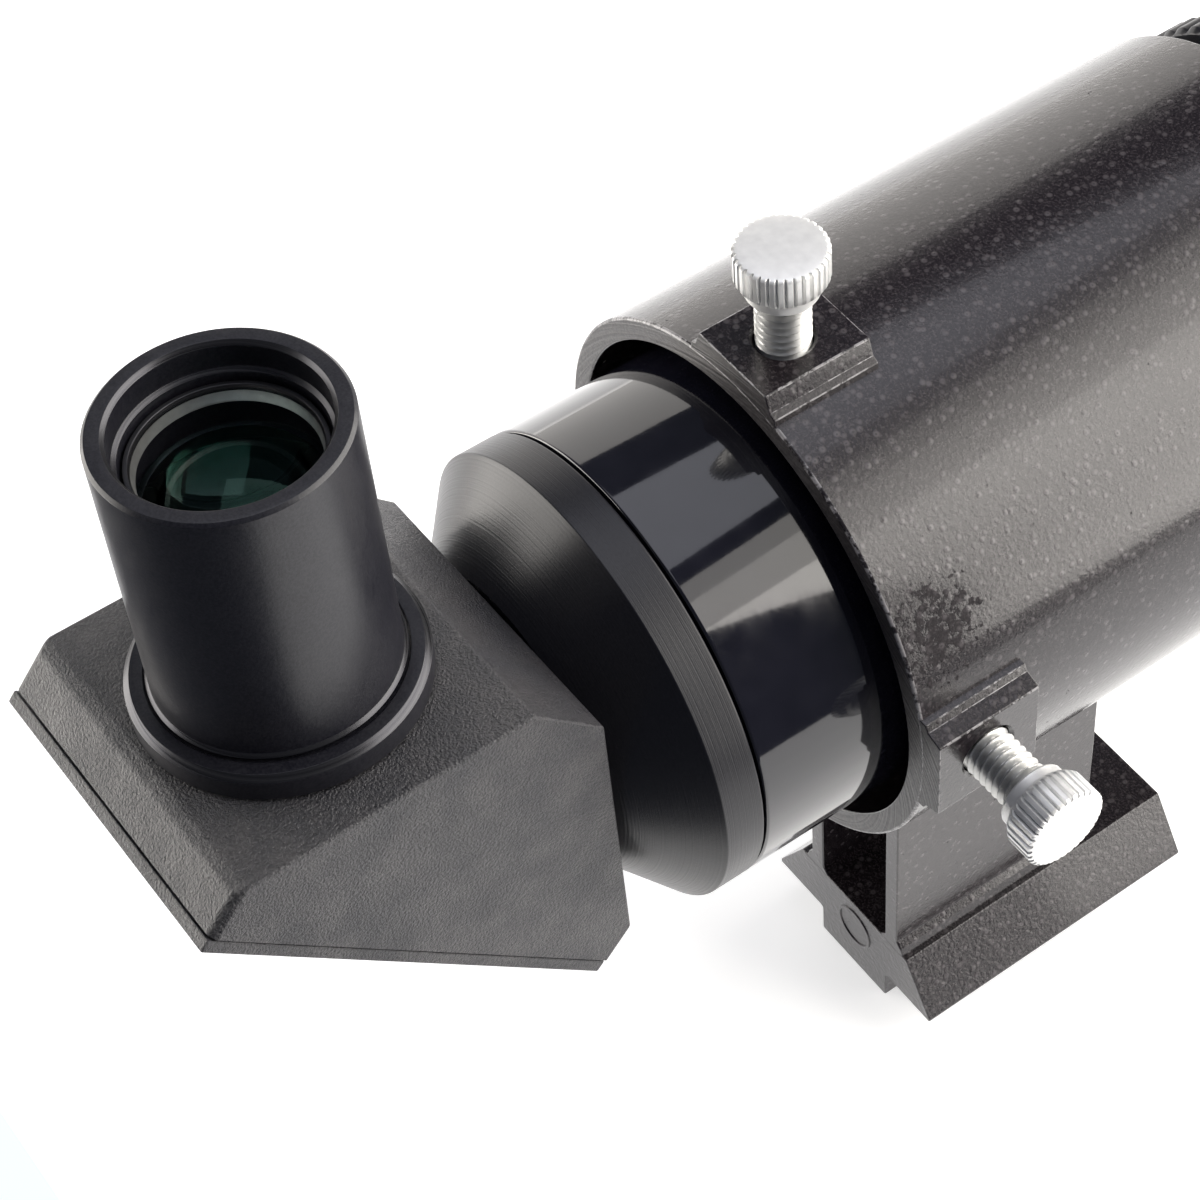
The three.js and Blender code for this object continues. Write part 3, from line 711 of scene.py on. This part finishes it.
def boss_piece(name, angle, paints):
    """A flat pad on flared, stepped sides, drilled for its screw. Local Z points outwards."""
    half = [
        (5.8, PAD_HEIGHT, 0.25), (6.5, 33.1, 0.15), (7.3, 32.65, 0.2), (7.5, BOSS_SUNK),
    ]
    bm = prism(rounded(mirrored(half), 3), RECESS, BOSS_LENGTH)
    bevel_edges(bm, 0.3, 3, across, 60)
    mouth = HOLE_RADIUS + 0.5
    above = 40
    hole = lathe([
        (0, HOLE_START), (HOLE_RADIUS, HOLE_START), (HOLE_RADIUS, PAD_HEIGHT - 0.4),
        (mouth, PAD_HEIGHT + 0.1), (mouth, above), (0, above),
    ], 64, closed=False)
    upright = Matrix.Translation((0, SCREW_Y, 0)) @ Y_TO_Z
    bmesh.ops.transform(hole, matrix=upright, verts=hole.verts)
    bm = carve(bm, [hole])
    for face in bm.faces:
        if in_plane(face, RECESS):
            face.material_index = 2
        elif narrow(face):
            # narrow edge faces get worn paint with painted edge highlights
            face.material_index = 1
    place = AXIS_FRAME @ Matrix.Rotation(angle, 4, "Y")
    new_piece(name, bm, place, "bracket", paints, ["bracket_casting"], 30)


STEM_REAR = 15.6
STEM_FRONT = 48.4
STEM_INNER = 6.6
STEM_OUTER = 9.1
STEM_TOP = -30.0
FOOT_FRONT = 59.4
FOOT_TOP = -79.3
FOOT_EDGE = 0.35
FLARE = -88.0
SOLE_HALF = 6.9


def stem_walls(paint):
    """Two upright walls that run into the ring above and into the foot below."""
    root = FOOT_TOP - 0.4
    for name, side in (("stem_wall_left", -1), ("stem_wall_right", 1)):
        corners = [
            (STEM_INNER, STEM_TOP - 0.5), (STEM_INNER, FOOT_TOP + 0.9, 0.8), (5.2, root),
            (10.6, root), (9.9, FOOT_TOP + 1.0, 0.25), (STEM_OUTER, FOOT_TOP + 1.9, 0.3),
            (STEM_OUTER, STEM_TOP + 0.5),
        ]
        outline = rounded([(side * corner[0], *corner[1:]) for corner in corners])
        bm = prism(outline, STEM_REAR + RECESS, STEM_FRONT)
        bevel_edges(bm, FOOT_EDGE, 3, across, 60)
        new_piece(name, bm, AXIS_FRAME, "bracket", paint, ["bracket_casting"], 30)


def foot_piece(paint):
    """The dovetail foot, with the round mould mark on its rear end."""
    half = [
        (11.2, FOOT_TOP, FOOT_EDGE), (16.3, FLARE + 0.5, FOOT_EDGE), (16.15, FLARE, 0.2),
        (SOLE_HALF, FLARE, 0.4), (SOLE_HALF, FOOT_BOTTOM, FOOT_EDGE),
    ]
    bm = prism(rounded(mirrored(half), 3), STEM_REAR, FOOT_FRONT)
    bevel_edges(bm, FOOT_EDGE, 3, across, 60)
    inner = 2.95
    outer = 3.35
    proud = -0.15
    sunk = 0.5
    rim = [(inner, proud, 0.1), (outer, proud, 0.1), (outer, sunk), (inner, sunk)]
    mark = lathe(rounded(rim, 2), 64)
    place = Matrix.Translation((0.2, STEM_REAR, FLARE + 3.6))
    bmesh.ops.transform(mark, matrix=place, verts=mark.verts)
    new_piece("dovetail_foot", combine(bm, mark), AXIS_FRAME, "bracket", paint,
              ["bracket_casting"], 30)


def build_bracket(paint, lumpy, faced, edge_wear_and_highlight):
    ring_piece(paint, faced, edge_wear_and_highlight)
    for name, angle in (("top_boss", TOP), ("side_boss", SIDE), ("plunger_boss", OPPOSITE)):
        boss_piece(name, angle, [paint, edge_wear_and_highlight, faced])
    stem_walls(paint)
    foot_piece(lumpy)


# -------------------- screws and plunger

HEAD_TOP = 48.2
HEAD_RADIUS = 5.12
KNURL_BOTTOM = 43.6
NECK_BOTTOM = 42.0
THREAD_RADIUS = 3.05
THREAD_DEPTH = 0.6
PITCH = 1.0
ROWS_PER_PITCH = 12
SHANK_START = 30.3
FLUTES = 34
FLUTE_START = 4.7
FLUTE_DEPTH = 0.44


def groove(turns, width=0.24):
    """1 in the middle of each unit of turns and 0 between, as narrow V grooves."""
    offset = abs((turns % 1.0) - 0.5)
    return max(0.0, 1 - offset / width)


def threaded_shank(start, end, radius, depth):
    """A rod with a real helix cut in it; its ends run into the pieces next to it."""
    rows = int((end - start) / PITCH * ROWS_PER_PITCH)
    outline = [(radius, start + (end - start) * row / rows) for row in range(rows + 1)]

    def helix(angle, reach, y):
        phase = (y / PITCH - angle / (2 * math.pi)) % 1.0
        ridge = min(1.0, max(0.0, 2.4 * abs(phase - 0.5) - 0.1))
        return reach - depth * (1 - ridge)

    return lathe([(0, start), *outline, (0, end)], 48, closed=False, wobble=helix)


def thumbscrew(name, angle, dull):
    """A screw with a slightly domed, straight-knurled head, a neck and a threaded shank."""
    head = [
        (0, HEAD_TOP - 0.02), (1.5, HEAD_TOP - 0.03), (3.2, HEAD_TOP - 0.09),
        (4.4, HEAD_TOP - 0.17), (4.75, HEAD_TOP - 0.22), (4.95, HEAD_TOP - 0.3),
        (HEAD_RADIUS, HEAD_TOP - 0.48), (HEAD_RADIUS, (HEAD_TOP + KNURL_BOTTOM) / 2),
        (HEAD_RADIUS, KNURL_BOTTOM + 0.9), (HEAD_RADIUS - 0.1, KNURL_BOTTOM + 0.7),
        (4.75, KNURL_BOTTOM + 0.3), (4.45, KNURL_BOTTOM), (4.2, KNURL_BOTTOM - 0.15),
        (4.12, KNURL_BOTTOM - 0.4), (4.1, NECK_BOTTOM + 0.3), (3.95, NECK_BOTTOM + 0.05),
        (2.4, NECK_BOTTOM), (0, NECK_BOTTOM),
    ]

    def flutes(turn, radius, y):
        if radius < FLUTE_START or y < KNURL_BOTTOM + 0.05:
            return radius
        depth = FLUTE_DEPTH * min(1.0, (radius - FLUTE_START + 0.05) / 0.3)
        return radius - depth * groove(turn * FLUTES / (2 * math.pi))

    bm = lathe(head, FLUTES * 12, closed=False, wobble=flutes)
    combine(bm, threaded_shank(SHANK_START, NECK_BOTTOM + 0.2, THREAD_RADIUS, THREAD_DEPTH))
    for face in bm.faces:
        on_thread = max(v.co.y for v in face.verts) < NECK_BOTTOM - 0.05
        face.material_index = 1 if on_thread else 0
    place = radial_frame(angle, SCREW_Y)
    centre = place.translation / MM
    flatten = (0, 1, 1) if angle == SIDE else (1, 1, 0)
    metal = turned_metal(f"{name}_metal", tuple(centre), flatten, 0.85, 0.6)
    new_piece(f"{name}_knurled_screw", bm, place, f"{name}_thumbscrew", [metal, dull],
              [f"{name}_thumbscrew"], 28)


def screw_tip(name, angle, nylon):
    start = TUBE_RADIUS + 0.3
    end = start + 2.2
    radius = 2.4
    outline = rounded([(0, start), (radius, start, 0.35), (radius, end, 0.2), (0, end)])
    bm = lathe(outline, 48, closed=False)
    new_piece(f"{name}_nylon_tip", bm, radial_frame(angle, SCREW_Y), f"{name}_screw_tip",
              nylon, [f"{name}_screw_tip"])


PLUNGER_RADIUS = 4.0
PLUNGER_HEAD = 5.6
PLUNGER_NECK = 5.25
PLUNGER_TOP = 43.6
CHAMBER_RADIUS = 2.8
CHAMBER_FLOOR = 32.0
NOSE_HOLE = 2.0


def plunger(metal, steel):
    """A hollow barrel, its slotted cap and the sprung nose; the spring is the CAD frame's own."""
    place = radial_frame(OPPOSITE, SCREW_Y)
    start = 30.5
    shoulder = PAD_HEIGHT + 0.3
    barrel = [
        (NOSE_HOLE, start), (PLUNGER_RADIUS, start, 0.3), (PLUNGER_RADIUS, shoulder),
        (PLUNGER_HEAD, shoulder, 0.4), (PLUNGER_HEAD, 38.2, 0.15), (PLUNGER_NECK, 38.4, 0.1),
        (PLUNGER_NECK, 39.0, 0.1), (PLUNGER_HEAD, 39.2, 0.15), (PLUNGER_HEAD, PLUNGER_TOP, 0.2),
        (CHAMBER_RADIUS, PLUNGER_TOP), (CHAMBER_RADIUS, CHAMBER_FLOOR),
        (NOSE_HOLE, CHAMBER_FLOOR),
    ]
    turned_piece("plunger_body", barrel, place, "bracket", metal, ["plunger_barrel"], 96)
    low = PLUNGER_TOP + 0.3
    high = low + 1.6
    disc = rounded([(0, low), (PLUNGER_HEAD, low, 0.2), (PLUNGER_HEAD, high, 0.5), (0, high)])
    slot = prism(rectangle(0.6, 8), high - 0.8, high + 1.5)
    cap = carve(lathe(disc, 96, closed=False), [slot])
    new_piece("plunger_slotted_cap", cap, place, "bracket", metal, ["plunger_end_cap"])
    tip = TUBE_RADIUS + 1.6
    collar = 32.3
    collar_top = 33.8
    end = 36.3
    pin = [
        (0, tip), (0.7, tip + 0.05), (1.2, tip + 0.3), (1.55, tip + 0.7), (1.7, tip + 1.2),
        (1.7, collar), (2.45, collar), (2.45, collar_top), (1.0, collar_top), (1.0, end), (0, end),
    ]
    nose = lathe(pin, 48, closed=False)
    new_piece("plunger_nose", nose, place, "plunger_pin", metal, ["plunger_pin"])
    shade(["plunger_spring"], steel)


# -------------------- tube and objective

TUBE_BORE = 24.8
TUBE_SHOULDER = 79.7
TUBE_THREAD = 26.85
THREAD_BORE = 27.15
O_RING_Y = 68
O_RING_RADIUS = 28
O_RING_SECTION = 1.6
O_RING_SEAT = 26.1
O_RING_ROOM = 2.4


def tube_pieces(enamel, rubber):
    rear = O_RING_Y - O_RING_ROOM
    front = O_RING_Y + O_RING_ROOM
    tube = [
        (TUBE_BORE, TUBE_REAR), (TUBE_RADIUS, TUBE_REAR, 0.35), (TUBE_RADIUS, rear, 0.15),
        (O_RING_SEAT, rear, 0.3), (O_RING_SEAT, front, 0.3), (TUBE_RADIUS, front, 0.15),
        (TUBE_RADIUS, TUBE_SHOULDER, 0.3), (TUBE_THREAD, TUBE_SHOULDER),
        (TUBE_THREAD, TUBE_FRONT, 0.2), (TUBE_BORE, TUBE_FRONT),
    ]
    turned_piece("enamelled_tube", tube, AXIS_FRAME, "tube", enamel,
                 ["main_tube"], LARGE_ROUND)
    section = []
    for step in range(16):
        turn = 2 * math.pi * step / 16
        radius = O_RING_RADIUS + O_RING_SECTION * math.cos(turn)
        section.append((radius, O_RING_Y + O_RING_SECTION * math.sin(turn)))
    new_piece("o_ring", lathe(section, 160), AXIS_FRAME, "pivot_o_ring", rubber,
              ["pivot_o_ring"])


LOCK_REAR = 80
LOCK_FRONT = 85.5
LOCK_RADIUS = 31.2
LOCK_LIP = 30.6
LOCK_FLUTES = 72


def lock_ring_piece(anodised):
    corners = [
        (THREAD_BORE, LOCK_REAR, 0.3), (LOCK_LIP, LOCK_REAR, 0.4),
        (LOCK_RADIUS, LOCK_REAR + 0.9, 0.3), (LOCK_RADIUS, (LOCK_REAR + LOCK_FRONT) / 2),
        (LOCK_RADIUS, LOCK_FRONT - 0.9, 0.3), (LOCK_LIP, LOCK_FRONT, 0.4),
        (THREAD_BORE, LOCK_FRONT, 0.3),
    ]

    def flutes(angle, radius, y):
        depth = 0.5 * min(1.0, max(0.0, (radius - LOCK_LIP + 0.1) / 0.5))
        return radius - depth * groove(angle * LOCK_FLUTES / (2 * math.pi), 0.3)

    bm = lathe(rounded(corners), LOCK_FLUTES * 8, wobble=flutes)
    new_piece("knurled_lock_ring", bm, AXIS_FRAME, "lock_ring", anodised,
              ["focus_lock_ring"], 28)


CELL_REAR = 85.8
CELL_FRONT = 108
CELL_RADIUS = 30.5
CELL_POCKET = 25.6
CELL_STOP = 24.2
CELL_SEAT = 96
CELL_THREAD_END = 94.5
BAND_RADIUS = 30.2
SPIGOT_RADIUS = 28.6
SPIGOT_REAR = 104
SHIELD_BORE = 28.9
SHIELD_FRONT = 132
LENS_RADIUS = 25.3


def objective_pieces(enamel, anodised, glass):
    cell = [
        (THREAD_BORE, CELL_REAR, 0.3), (CELL_RADIUS, CELL_REAR, 0.4), (CELL_RADIUS, 88.4, 0.1),
        (BAND_RADIUS, 88.6, 0.1), (BAND_RADIUS, 89.2, 0.1), (CELL_RADIUS, 89.4, 0.1),
        (CELL_RADIUS, SPIGOT_REAR, 0.3), (SPIGOT_RADIUS, SPIGOT_REAR),
        (SPIGOT_RADIUS, CELL_FRONT, 0.2), (CELL_POCKET, CELL_FRONT, 0.3),
        (CELL_POCKET, CELL_SEAT), (CELL_STOP, CELL_SEAT, 0.2), (CELL_STOP, CELL_THREAD_END, 0.2),
        (THREAD_BORE, CELL_THREAD_END),
    ]
    turned_piece("lens_cell", cell, AXIS_FRAME, "objective_cell", anodised,
                 ["objective_cell"], LARGE_ROUND)
    start = SPIGOT_REAR + 0.3
    shield = [
        (SHIELD_BORE, start), (CELL_RADIUS, start, 0.3), (CELL_RADIUS, SHIELD_FRONT - 0.6, 0.3),
        (CELL_RADIUS - 0.6, SHIELD_FRONT, 0.2), (SHIELD_BORE, SHIELD_FRONT, 0.3),
    ]
    turned_piece("dew_tube", shield, AXIS_FRAME, "objective_cell", enamel,
                 ["dew_shield"], LARGE_ROUND)
    rear = CELL_FRONT - 2.3
    front = CELL_FRONT - 0.3
    keeper = [
        (24.0, rear, 0.2), (LENS_RADIUS, rear), (LENS_RADIUS, front, 0.15), (24.6, front, 0.3),
    ]
    turned_piece("objective_keeper", keeper, AXIS_FRAME, "objective_cell", anodised,
                 ["objective_retaining_ring"], 192)
    for name, rear, front, node in (
        ("crown_element", (103, 115, -1), (105, 115, 1), "objective_crown_lens"),
        ("flint_element", (96.3, 0, 0), (101.8, 115, -1), "objective_flint_lens"),
    ):
        lens_piece(name, LENS_RADIUS, rear, front, AXIS_FRAME, "objective_optics", glass, node)


def build_tube(enamel, anodised, rubber, glass, silver, blasted):
    tube_pieces(enamel, rubber)
    lock_ring_piece(anodised)
    objective_pieces(enamel, anodised, glass)
    shade(["rear_baffle", "front_baffle"], blasted)
    shade(["objective_spacer"], silver)


def lens_face(radius, edge, curve, bulge, steps=16):
    """One face of a lens from its middle out: flat if bulge is 0, else an arc of radius curve that
    bulges towards +Y or -Y. edge is its y at the rim."""
    if not bulge:
        return [(0, edge), (radius, edge)]

    def sag(r):
        return curve - math.sqrt(curve * curve - r * r)

    reach = [radius * step / steps for step in range(steps + 1)]
    return [(r, edge + bulge * (sag(radius) - sag(r))) for r in reach]


def lens_piece(name, radius, rear, front, place, body, glass, node):
    outline = lens_face(radius, *rear) + list(reversed(lens_face(radius, *front)))
    bm = lathe(outline, 128, closed=False)
    new_piece(name, bm, place, body, glass, [node], 30)


# -------------------- diagonal

HOUSING_HALF = 19.85
HOUSING_TOP = 25
HOUSING_FRONT = -30.58
HOUSING_BACK = -71.6
CHAMFER_START = -38.05
WALL = 2.4
CAVITY_HALF = 16
SLOPE = -57.24
SLOPE_MIDDLE = -56.05

# The housing's outline from the side, as (y, z) in the diagonal's frame.
HOUSING_SIDE = [
    (HOUSING_BACK, HOUSING_TOP), (CHAMFER_START, HOUSING_TOP), (HOUSING_FRONT, 17.4),
    (HOUSING_FRONT, -17.2), (-35.35, -21.9), (-76.75, 19.5),
]


def slope_sum(inward):
    """The sloping underside is the line y + z = SLOPE; this moves it inwards, square to itself."""
    return SLOPE + inward * math.sqrt(2)


def beyond_slope(total, outward=True):
    """A cutter that holds all that lies on one side of the line y + z = total."""
    far = 120
    width = 40
    if outward:
        corners = [(total - far, far), (-far, -far), (total + far, -far)]
    else:
        corners = [(total - far, far), (total + far, -far), (far, far)]
    return prism(corners, -width, width, "X")


def on_slope(bm, x, along):
    """Moves a piece turned about Y so that its +Y points out through the sloping cover."""
    step = along / math.sqrt(2)
    turn = Matrix.Rotation(math.pi * 5 / 4, 4, "X")
    point = (x, SLOPE_MIDDLE - step, SLOPE - SLOPE_MIDDLE + step)
    bmesh.ops.transform(bm, matrix=Matrix.Translation(point) @ turn, verts=bm.verts)
    return bm


COVER_SCREWS = [(x, along) for x in (-17.9, 17.9) for along in (-24, 24)]


def housing_piece(polymer):
    """The moulded box: hollow, open below, with round holes for the adapter and the eyepiece."""
    bm = prism(HOUSING_SIDE, -HOUSING_HALF, HOUSING_HALF, "X")

    def on_back_chamfer(edge):
        side = HOUSING_HALF - 1e-3
        return all(abs(v.co.x) > side and v.co.y < HOUSING_BACK + 0.1 for v in edge.verts)

    bevel_edges(bm, 0.75, 1, on_back_chamfer)
    bevel_edges(bm, 0.32, 3, angle=20)
    below = beyond_slope(slope_sum(1.8))
    ceiling = HOUSING_TOP - WALL
    front_wall = HOUSING_FRONT - WALL
    rear_wall = HOUSING_BACK + 2.1
    chamfer = CHAMFER_START + HOUSING_TOP - WALL * math.sqrt(2)
    beyond = slope_sum(-3)
    low = -16.5
    reach = (beyond - front_wall - low) / 2
    cavity = prism([
        (chamfer - ceiling, ceiling), (rear_wall, ceiling), (rear_wall, beyond - rear_wall),
        (front_wall + reach, low + reach), (front_wall, low), (front_wall, chamfer - front_wall),
    ], -CAVITY_HALF, CAVITY_HALF, "X")
    adapter_hole = plug(12.8, -36, -28, 96)
    eyepiece_hole = plug(12.25, 20, 28, 96)
    upright = Matrix.Translation((0, EYEPIECE_Y, 0)) @ Y_TO_Z
    bmesh.ops.transform(eyepiece_hole, matrix=upright, verts=eyepiece_hole.verts)
    bm = carve(bm, [below, cavity, adapter_hole, eyepiece_hole])
    new_piece("grained_housing", bm, DIAGONAL_FRAME, "diagonal", polymer,
              ["prism_housing"], 24)


def cover_piece(polymer):
    """The plate on the sloping underside, with a stepped hole for each of its screws."""
    half = HOUSING_HALF - 0.25
    bm = prism(HOUSING_SIDE, -half, half, "X")
    bm = carve(bm, [beyond_slope(slope_sum(1.5), outward=False)])
    bevel_edges(bm, 0.2, 2, angle=20)
    hole = 1.0
    sink = 1.5
    depth = -0.9
    outline = [(0, -3), (hole, -3), (hole, depth), (sink, depth), (sink, 1), (0, 1)]
    sinks = []
    for x, along in COVER_SCREWS:
        sinks.append(on_slope(lathe(outline, 40, closed=False), x, along))
    bm = carve(bm, sinks)
    new_piece("sloping_cover", bm, DIAGONAL_FRAME, "diagonal", polymer,
              ["prism_cover_plate"], 24)


def cover_screw_pieces(metal):
    """Four small screws with a cross cut in each head."""
    shank = 0.9
    head = 1.42
    under = -0.7
    corners = [(0, -6), (shank, -6), (shank, under), (head, under), (head, -0.1, 0.25), (0, -0.05)]
    outline = rounded(corners, 3)
    for index, (x, along) in enumerate(COVER_SCREWS, 1):
        blades = [prism(bar, -0.45, 1) for bar in (rectangle(0.2, 0.95), rectangle(0.95, 0.2))]
        screw = on_slope(carve(lathe(outline, 40, closed=False), blades), x, along)
        new_piece(f"cross_screw_{index}", screw, DIAGONAL_FRAME, "diagonal", metal,
                  [f"cover_screw_{index}"], 30)


def adapter_piece(anodised):
    """The hollow cone from the housing to the tube: its neck goes into the housing and its spigot
    into the tube."""
    neck = 12.5
    neck_bore = 10.8
    neck_end = -37
    spigot = 24.5
    spigot_bore = 22.7
    spigot_end = -10
    back = HOUSING_FRONT + 0.3
    wide = -22.1
    front = TUBE_REAR - 0.3
    corners = [
        (neck_bore, neck_end), (neck, neck_end, 0.3), (neck, back), (17.8, back),
        (TUBE_RADIUS, wide, 0.25), (TUBE_RADIUS, front, 0.3), (spigot, front),
        (spigot, spigot_end, 0.2), (spigot_bore, spigot_end), (spigot_bore, wide),
        (neck_bore, back + 2),
    ]
    turned_piece("cone_adapter", corners, DIAGONAL_FRAME, "diagonal", anodised,
                 ["diagonal_adapter"], LARGE_ROUND)


def build_diagonal(polymer, anodised, silver, prism_glass, foam):
    adapter_piece(anodised)
    housing_piece(polymer)
    cover_piece(polymer)
    cover_screw_pieces(silver)
    shade(["adapter_lock_nut"], silver)
    shade(["amici_prism"], prism_glass)
    shade(["prism_shim_left", "prism_shim_right"], foam)


# -------------------- eyepiece

FLANGE_RADIUS = 15.25
FLANGE_NECK = 11.95
FLANGE_BORE = 10.25
FLANGE_TOP = 28.5
BARREL_RADIUS = 12.65
BARREL_BORE = 9.9
BARREL_BASE = 28.8
BARREL_TOP = 61.7
MOUTH_RADIUS = 10.45
MOUTH_FLOOR = 58.55
KEEPER_RADIUS = 9.6
KEEPER_BORE = 9.0
KEEPER_BASE = 55.6
KEEPER_TOP = 57.45
EYE_LENS_RADIUS = 9.4


def polish(bm, chosen):
    """Gives the second material to the faces for which chosen(reach, y) holds."""
    for face in bm.faces:
        face.material_index = 1 if chosen(*face_place(face)) else 0
    return bm


def flange_piece(blasted, polished):
    seat = HOUSING_TOP + 0.3
    end = HOUSING_TOP - WALL
    dish = FLANGE_TOP - 0.25
    corners = [
        (FLANGE_BORE, end), (FLANGE_NECK, end), (FLANGE_NECK, seat), (FLANGE_RADIUS, seat, 0.2),
        (FLANGE_RADIUS, FLANGE_TOP - 0.65, 0.08), (FLANGE_RADIUS - 0.65, FLANGE_TOP, 0.08),
        (13.25, FLANGE_TOP, 0.05), (13.0, dish), (FLANGE_BORE, dish),
    ]

    def on_chamfer(reach, y):
        across_it = FLANGE_RADIUS - 0.59 < reach < FLANGE_RADIUS - 0.06
        return across_it and FLANGE_TOP - 0.6 < y < FLANGE_TOP - 0.05

    bm = polish(lathe(rounded(corners), LARGE_ROUND), on_chamfer)
    new_piece("eyepiece_base_flange", bm, EYEPIECE_FRAME, "diagonal",
              [blasted, polished], ["eyepiece_flange"], 20)


def barrel_piece(blasted, polished):
    corners = [
        (BARREL_BORE, BARREL_BASE), (BARREL_RADIUS + 0.4, BARREL_BASE, 0.05),
        (BARREL_RADIUS, BARREL_BASE + 0.45, 0.1), (BARREL_RADIUS, BARREL_TOP - 0.35, 0.12),
        (BARREL_RADIUS - 0.35, BARREL_TOP, 0.1), (MOUTH_RADIUS + 0.4, BARREL_TOP, 0.08),
        (MOUTH_RADIUS, BARREL_TOP - 0.5, 0.08), (MOUTH_RADIUS, MOUTH_FLOOR, 0.15),
        (9.98, 58.2, 0.06), (BARREL_BORE, 57.6),
    ]

    def on_edges(reach, y):
        in_mouth = MOUTH_RADIUS + 0.05 < reach < MOUTH_RADIUS + 0.37
        on_inner_rim = in_mouth and y > BARREL_TOP - 0.5
        above_bore = BARREL_BORE + 0.1 < reach < MOUTH_RADIUS - 0.05
        on_ledge = above_bore and MOUTH_FLOOR - 0.55 < y < MOUTH_FLOOR + 0.05
        past_barrel = BARREL_RADIUS + 0.05 < reach < BARREL_RADIUS + 0.4
        at_foot = past_barrel and y < BARREL_BASE + 0.4
        return on_inner_rim or on_ledge or at_foot

    bm = polish(lathe(rounded(corners), LARGE_ROUND), on_edges)
    new_piece("eyepiece_tube", bm, EYEPIECE_FRAME, "diagonal",
              [blasted, polished], ["eyepiece_barrel"], 20)


def keeper_piece(metal, polished):
    corners = [
        (KEEPER_RADIUS, KEEPER_BASE), (KEEPER_RADIUS, KEEPER_TOP, 0.08),
        (KEEPER_BORE + 0.15, KEEPER_TOP, 0.08), (KEEPER_BORE, 57.1, 0.1),
        (KEEPER_BORE, 56.75, 0.05), (8.7, KEEPER_BASE),
    ]

    def above_bevel(reach, y):
        return reach >= KEEPER_BORE or y >= KEEPER_TOP - 0.65

    bm = polish(lathe(rounded(corners), 192), above_bevel)
    new_piece("eye_lens_keeper", bm, EYEPIECE_FRAME, "diagonal", [metal, polished],
              ["eye_lens_retaining_ring"], 20)


def build_eyepiece(blasted, polished, glass, metal, anodised):
    flange_piece(blasted, polished)
    barrel_piece(blasted, polished)
    keeper_piece(metal, polished)
    for name, rear, front, node in (
        ("eye_element", (50.6, 30, -1), (52.2, 16, 1), "eye_lens"),
        ("middle_element", (41.9, 40, -1), (42.4, 26, 1), "eyepiece_middle_lens"),
        ("field_element", (36, 0, 0), (36.6, 24, 1), "field_lens"),
    ):
        lens_piece(name, EYE_LENS_RADIUS, rear, front, EYEPIECE_FRAME, "diagonal", glass, node)
    shade(["eyepiece_spacer", "field_lens_spacer", "field_stop"], blasted)
    shade(["crosshair_reticle"], glass)
    shade(["reticle_retaining_ring"], anodised)


# -------------------- the whole scene


def build():
    place_camera()
    light_studio()
    lay_floor()
    paint = hammertone_paint("hammertone_paint")
    lumpy = hammertone_paint("lumpy_hammertone_paint", 0.16)
    enamel = gloss_enamel()
    anodised = turned_anodising()
    blasted = blasted_anodising()
    glass = coated_glass("coated_glass", (0.60, 0.74, 0.74), (0.56, 0.70, 0.70))
    prism_glass = coated_glass("prism_glass", (0.22, 0.32, 0.34), (0.16, 0.26, 0.28))
    silver = turned_metal("bright_metal", (0, 0, AXIS_HEIGHT / MM), (1, 0, 1), 0.85, 0.6)
    dull = turned_metal("dull_metal", (0, 0, AXIS_HEIGHT / MM), (1, 0, 1), 0.5, 0.9)
    nylon = milky_nylon()
    build_bracket(paint, lumpy, machined_paint(), edge_wear_and_highlight_paint())
    for name, angle in (("top", TOP), ("side", SIDE)):
        thumbscrew(name, angle, dull)
        screw_tip(name, angle, nylon)
    plunger(silver, drawn_steel())
    build_tube(enamel, anodised, soft_rubber(), glass, silver, blasted)
    build_diagonal(grained_polymer(), anodised, silver, prism_glass, black_foam())
    build_eyepiece(blasted, polished_black(), glass, dull, anodised)


build()
